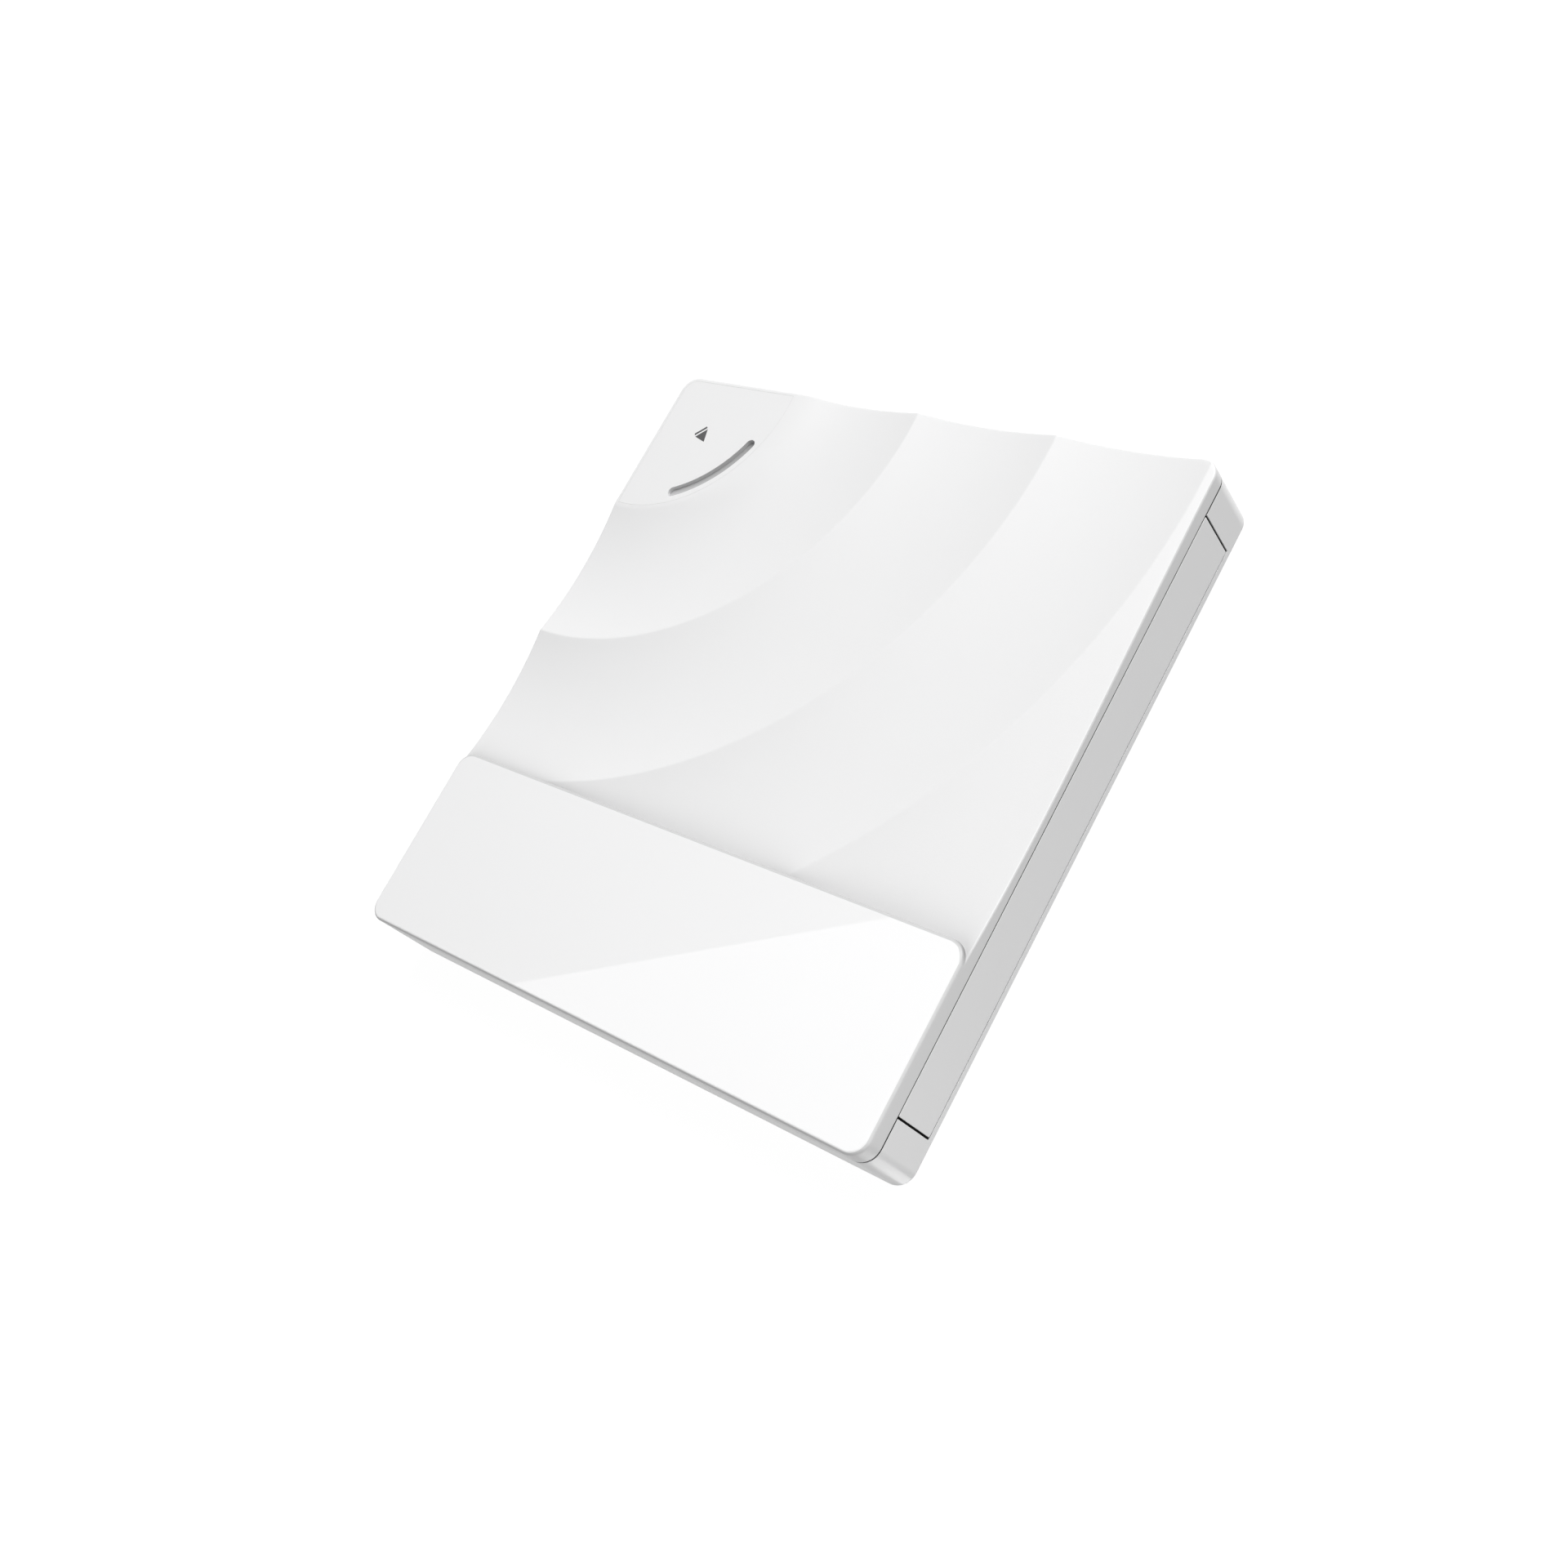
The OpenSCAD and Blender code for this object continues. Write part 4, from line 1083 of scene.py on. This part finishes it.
FILM_T = 0.1
FILM_CLEAR = 0.02
BEND_R = 0.3
BEND_STEPS = 5
FLEX_HALF = 6.0
FLEX_FROM = -24.0
FLEX_TO = 42.0
FLEX_LIFT = 0.12
FLEX_WAVE = 0.22
FLEX_WAVES = 3
FLEX_STEPS = 48
RIB_OFF = 9.6
RIB_HALF = 1.6
RIB_ALONG = (-6.0, 34.0)
RIB_R = 1.5
RIB_T = 0.18
YOKE_ALONG = (-7.2, 4.6)
YOKE_ACROSS = (-8.2, 8.2)
YOKE_R = 1.0
YOKE_T = 0.2
YOKE_EDGE = 0.08
MAGNET_OFF = 5.7
MAGNET_HALF = 0.6
MAGNET_ALONG = (-2.4, 2.4)
MAGNET_R = 0.4
MAGNET_T = 0.35
MAGNET_EDGE = 0.12
SLED_FILM_FROM = 5.0
SLED_FILM_HALF = 10.5
CHIP_ALONG = (5.5, 7.3)
CHIP_R = 0.15
CHIP_EDGE = 0.06
CHIP_ROW = ((-7.0, 1.5, 0.5), (-2.2, 0.6, 0.35), (0.4, 0.6, 0.35), (5.6, 2.0, 0.55))
SCREW_R = 1.0
SCREW_T = 0.4
SCREW_EDGE = 0.15
SCREW_OFF = 9.8
SCREW_BACK = 5.6
CROSS_ARM = 0.55
CROSS_HALF = 0.16
COIL_GAP = 0.2
COIL_OFF = HOLDER_END + COIL_GAP
COIL_HALF = 0.18
COIL_ACROSS = (-2.7, 2.7)
COIL_R = 0.12
COIL_DOWN = 1.2
COIL_UP = 0.05
COIL_EDGE = 0.08
GUARD_OUT = 0.65
GUARD_IN = 0.12
GUARD_T = 0.3
GUARD_EDGE = 0.12
GUARD_SIDES = 45


def unit_plate(bm, along, across, r, z0, z1, edge, hole=None):
    """Rounded plate on the disc unit, placed from the lens, with a soft top edge and maybe an opening."""
    def outside(inset):
        u0, u1 = along
        v0, v1 = across
        return unit_loop((u0 + inset, u1 - inset), (v0 + inset, v1 - inset), r - inset)

    def opening(inset):
        u, v = [half + inset for half in hole]
        return unit_loop((-u, u), (-v, v), r / 2 + inset)

    steps = edge_profile(z0, z1, 0, edge)
    outlines = (outside, opening) if hole else (outside,)
    add_plate(bm, [(outline, steps) for outline in outlines])


def film(name, body, path, half):
    """Thin flat cable that follows a path of (along, height) places from the lens."""
    bm = bmesh.new()
    rows = []
    for i, (u, z) in enumerate(path):
        a = Vector(path[max(i - 1, 0)])
        b = Vector(path[min(i + 1, len(path) - 1)])
        way = (b - a).normalized() * FILM_T
        skins = [(u, z, -half), (u, z, half), (u - way.y, z + way.x, half), (u - way.y, z + way.x, -half)]
        rows.append([bm.verts.new(Vector((*(LENS + ALONG * p + ACROSS * q), h)) * MM) for p, h, q in skins])
    for low, high in zip(rows, rows[1:]):
        bridge(bm, low, high)
    bm.faces.new(rows[0])
    bm.faces.new(rows[-1])
    return piece(name, bm, "unit_flex", body)


def pickup_flex():
    """Flat cable that lies in low waves on the plate, below the sled's whole way."""
    path = []
    for i in range(FLEX_STEPS + 1):
        rise = math.sin(FLEX_WAVES * math.pi * i / FLEX_STEPS) ** 2
        u = FLEX_FROM + (FLEX_TO - FLEX_FROM) * i / FLEX_STEPS
        path.append((u, Z_PLATE + FLEX_LIFT + FLEX_WAVE * rise))
    return film("pickup_flex", "tray", path, FLEX_HALF)


def sled_flex():
    """Flat cable on the sled that bends down over its outer end."""
    end = SLED_END + FILM_CLEAR
    top = Z_SLED + FILM_CLEAR
    turns = [math.pi / 2 * i / BEND_STEPS for i in range(BEND_STEPS + 1)]
    bend = [(end - BEND_R * (1 - math.sin(q)), top - BEND_R * (1 - math.cos(q))) for q in turns]
    path = [(SLED_FILM_FROM, top)] + bend + [(end, SLED_FOOT)]
    return film("sled_flex", "sled", path, SLED_FILM_HALF)


def sled_chips():
    """Small parts soldered to the sled's cable."""
    z = Z_SLED + FILM_CLEAR + FILM_T
    bm = bmesh.new()
    for across, half, tall in CHIP_ROW:
        unit_plate(bm, CHIP_ALONG, (across - half, across + half), CHIP_R, z, z + tall, CHIP_EDGE)
    return piece("sled_chips", bm, "chip", "sled")


def plate_ribs():
    """Two stamped ribs in the plate, one on either side of the flat cable."""
    bm = bmesh.new()
    for side in (-RIB_OFF, RIB_OFF):
        across = (side - RIB_HALF, side + RIB_HALF)
        unit_plate(bm, RIB_ALONG, across, RIB_R, Z_PLATE, Z_PLATE + RIB_T, RIB_T)
    return piece("plate_ribs", bm, "sheet", "tray")


def actuator_yoke():
    """Pressed plate round the lens well, with a raised magnet bar on either side."""
    z = Z_SLED + YOKE_T
    bm = bmesh.new()
    unit_plate(bm, YOKE_ALONG, YOKE_ACROSS, YOKE_R, Z_SLED, z, YOKE_EDGE, LENS_WELL)
    for side in (-MAGNET_OFF, MAGNET_OFF):
        across = (side - MAGNET_HALF, side + MAGNET_HALF)
        unit_plate(bm, MAGNET_ALONG, across, MAGNET_R, z, z + MAGNET_T, MAGNET_EDGE)
    return piece("actuator_yoke", bm, "bright", "sled")


def cross_loop(centre, arm, half):
    """Outline of a cross recess."""
    quarter = ((arm, -half), (arm, half), (half, half))
    out = []
    for c, s in ((1, 0), (0, 1), (-1, 0), (0, -1)):
        out += [(centre.x + c * u - s * v, centre.y + s * u + c * v) for u, v in quarter]
    return out


def sled_screws():
    """Two screws that hold the yoke plate."""
    bm = bmesh.new()
    steps = edge_profile(Z_SLED, Z_SLED + SCREW_T, 0, SCREW_EDGE)
    for side in (-SCREW_OFF, SCREW_OFF):
        at = LENS - ALONG * SCREW_BACK + ACROSS * side
        add_plate(bm, [(lambda inset, c=at: circle(c, SCREW_R - inset), steps),
                       (lambda inset, c=at: cross_loop(c, CROSS_ARM, CROSS_HALF), steps)])
    return piece("sled_screws", bm, "bright", "sled")


def lens_coils():
    """Drive coils on the two long sides of the lens holder."""
    bm = bmesh.new()
    for mid in (-COIL_OFF, COIL_OFF):
        along = (mid - COIL_HALF, mid + COIL_HALF)
        unit_plate(bm, along, COIL_ACROSS, COIL_R, Z_HOLDER - COIL_DOWN, Z_HOLDER + COIL_UP, COIL_EDGE)
    return piece("lens_coils", bm, "copper", "lens")


def lens_ring():
    """Raised guard ring round the lens."""
    bm = bmesh.new()
    steps = edge_profile(Z_HOLDER, Z_HOLDER + GUARD_T, 0, GUARD_EDGE)
    add_plate(bm, [(lambda inset: circle(LENS, LENS_R + GUARD_OUT - inset, GUARD_SIDES), steps),
                   (lambda inset: circle(LENS, LENS_R + GUARD_IN + inset, GUARD_SIDES), steps)])
    return piece("lens_ring", bm, "black", "lens")


WELD = 0.002
FLAT_JOIN = math.radians(0.6)
CORNER_ANGLE = math.radians(35)


def softened(node, body, finish, edge_mm, segments=2):
    """The node's own mesh with its outer corners rounded by edge_mm."""
    bm = bmesh.new()
    bm.from_mesh(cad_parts[node].data)
    bmesh.ops.remove_doubles(bm, verts=bm.verts, dist=WELD * MM)
    bmesh.ops.dissolve_limit(bm, angle_limit=FLAT_JOIN, verts=bm.verts, edges=bm.edges)
    corners = [e for e in bm.edges if e.is_manifold and e.is_convex and e.calc_face_angle() > CORNER_ANGLE]
    bmesh.ops.bevel(bm, geom=corners, offset=edge_mm * MM, offset_type="OFFSET", segments=segments,
                    profile=0.5, affect="EDGES", clamp_overlap=True)
    return piece(node + "_soft", bm, finish, body, node)


# Stage, light and camera

CAMERA_AT = (-88.99, -246.30, 291.24)
CAMERA_AIM = (-9.05, 0.65, 0.0)
CAMERA_ROLL = -47.64
CAMERA_LENS = 41.73
KEY_LIGHT_FROM = (0.736, -0.288, 0.613)
KEY_LIGHT_AWAY = 3000.0
KEY_LIGHT_SIZE = 2250.0
KEY_LIGHT_POWER = 80.0
TOP_LIGHT_AT = (260.0, -220.0, 620.0)
TOP_LIGHT_SIZE = 260.0
TOP_LIGHT_POWER = 0.8
FILL_AT = (-105.0, -190.0, 30.0)
FILL_SIZE = 60.0
FILL_POWER = 0.024
CARD_EDGE = ((-38.0, 588.1), (89.1, 358.5))
CARD_HEIGHT = 600.0
CARD_SIZE = (560.0, 380.0)
CARD_POWER = 1.0
ROOM_LIGHT = 0.392
GLINT_FROM = 22.0
GLINT_TO = 50.0
GLINT_LOW = 1.0
GLINT_HEIGHT = 0.6
GLINT_GLOW = 4.2
BACKDROP_R = 6000.0
BACKDROP_TOP = 4000.0
BACKDROP_FROM = 2700.0
BACKDROP_DROP = 1.0
BACKDROP_BEND = (300.0, 200.0)
BACKDROP_SIDES = 48
FLOOR_HALF = 3000.0
FLOOR_GLOW = 0.91
FLOOR_ALBEDO = 0.22


def camera():
    """Camera at the photograph's viewing angle."""
    data = bpy.data.cameras.new("camera")
    data.lens = CAMERA_LENS
    made = placed("camera", data)
    at = Vector(CAMERA_AT) * MM
    aim = Vector(CAMERA_AIM) * MM
    made.rotation_mode = "QUATERNION"
    made.location = at
    level = (aim - at).to_track_quat("-Z", "Y")
    made.rotation_quaternion = level @ Quaternion((0, 0, 1), math.radians(CAMERA_ROLL))
    bpy.context.scene.camera = made


def area_light(name, at, size, power, turn):
    """A rectangular light that shines along its own downward axis."""
    data = bpy.data.lights.new(name, "AREA")
    data.shape = "RECTANGLE"
    data.size, data.size_y = [s * MM for s in size]
    data.energy = power
    made = placed(name, data)
    made.location = Vector(at) * MM
    made.rotation_mode = "QUATERNION"
    made.rotation_quaternion = turn
    return made


def lights():
    """Soft light, top light, weak front fill, a card that only glossy surfaces mirror, and room light."""
    out = Vector(KEY_LIGHT_FROM)
    area_light("soft_box", out * KEY_LIGHT_AWAY, (KEY_LIGHT_SIZE, KEY_LIGHT_SIZE), KEY_LIGHT_POWER,
               out.to_track_quat("Z", "Y"))
    top = Vector(TOP_LIGHT_AT)
    area_light("top_box", top, (TOP_LIGHT_SIZE, TOP_LIGHT_SIZE), TOP_LIGHT_POWER,
               top.to_track_quat("Z", "Y"))
    fill = Vector(FILL_AT)
    out = fill - Vector((-HALF_W, -HALF_D, fill.z))
    low = area_light("front_fill", fill, (FILL_SIZE, FILL_SIZE), FILL_POWER, out.to_track_quat("Z", "Y"))
    low.visible_camera = False
    low.visible_glossy = False
    a, b = [Vector(p) for p in CARD_EDGE]
    along = (b - a).normalized()
    across = Vector((along.y, -along.x))
    card_at = (a + b) / 2 + across * CARD_SIZE[1] / 2
    card = area_light("mirror_card", (*card_at, CARD_HEIGHT), CARD_SIZE, CARD_POWER,
                      Quaternion((0, 0, 1), math.atan2(along.y, along.x)))
    card.visible_diffuse = False
    world = bpy.data.worlds.new("room")
    world.use_nodes = True
    world.node_tree.nodes["Background"].inputs["Strength"].default_value = ROOM_LIGHT
    world.node_tree.nodes["Background"].inputs["Color"].default_value = (1.0, 1.0, 1.0, 1.0)
    bpy.context.scene.world = world


def corner_glint():
    """Bright patch of floor that only the rounded front left corner mirrors towards the camera."""
    def mirrored(turn, z):
        """Place near the floor that the corner mirrors at this turn from the front and this height."""
        out = Vector((-math.sin(turn), -math.cos(turn), 0.0))
        at = Vector((CORNER_R - HALF_W, CORNER_R - HALF_D, z)) + out * CORNER_R
        ray = (at - Vector(CAMERA_AT)).reflect(out)
        return at + ray * ((GLINT_HEIGHT - z) / ray.z)
    a, b = math.radians(GLINT_FROM), math.radians(GLINT_TO)
    patch = [mirrored(a, GLINT_LOW), mirrored(a, Z_TOP), mirrored((a + b) / 2, Z_TOP), mirrored(b, Z_TOP),
             mirrored(b, GLINT_LOW)]
    mesh = bpy.data.meshes.new("corner_glint")
    mesh.from_pydata([tuple(p * MM) for p in patch], [], [tuple(range(len(patch)))])
    finish = Finish("glint", (0.0, 0.0, 0.0), 1.0,
                    emission_color=(1.0, 1.0, 1.0, 1.0), emission_strength=GLINT_GLOW)
    mesh.materials.append(finish.material)
    made = placed("corner_glint", mesh)
    made.visible_camera = False
    made.visible_diffuse = False
    made.visible_shadow = False


def floor():
    """Plain pale floor under the feet."""
    mesh = bpy.data.meshes.new("floor")
    h = FLOOR_HALF * MM
    mesh.from_pydata([(-h, -h, 0), (h, -h, 0), (h, h, 0), (-h, h, 0)], [], [(0, 1, 2, 3)])
    finish = Finish("floor", (FLOOR_ALBEDO,) * 3, 0.9, specular_ior_level=0.0,
                    emission_color=(1.0, 1.0, 1.0, 1.0), emission_strength=FLOOR_GLOW)
    mesh.materials.append(finish.material)
    made = placed("floor", mesh)
    made.visible_diffuse = False
    return finish.material


def backdrop(material):
    """Pale wall far behind the floor, seen by the camera only."""
    levels = [(BACKDROP_FROM, -BACKDROP_DROP), (BACKDROP_R - BACKDROP_BEND[0], -BACKDROP_DROP),
              (BACKDROP_R, BACKDROP_BEND[1]), (BACKDROP_R, BACKDROP_TOP)]
    bm = bmesh.new()
    rings = []
    for r, z in levels:
        rings.append([bm.verts.new((x * MM, y * MM, z * MM)) for x, y in circle((0, 0), r, BACKDROP_SIDES)])
    for low, high in zip(rings, rings[1:]):
        bridge(bm, low, high)
    mesh = bpy.data.meshes.new("backdrop")
    bm.to_mesh(mesh)
    bm.free()
    mesh.materials.append(material)
    made = placed("backdrop", mesh)
    made.visible_diffuse = False
    made.visible_glossy = False
    made.visible_transmission = False
    made.visible_shadow = False


bpy.context.scene.view_settings.view_transform = "Standard"
finish_nodes()
camera()
lights()
backdrop(floor())
corner_glint()
top_cover()
gloss_panel()
eject_key()
light_guide()
eject_mark()
tray_front()
front_shade_strip()
seam_shade_strip()
pickup_flex()
plate_ribs()
sled_flex()
sled_chips()
actuator_yoke()
sled_screws()
lens_coils()
lens_ring()
softened("bottom_case", "case", "satin", CASE_EDGE)
softened("rubber_feet", "case", "rubber", FOOT_EDGE, FOOT_EDGE_STEPS)
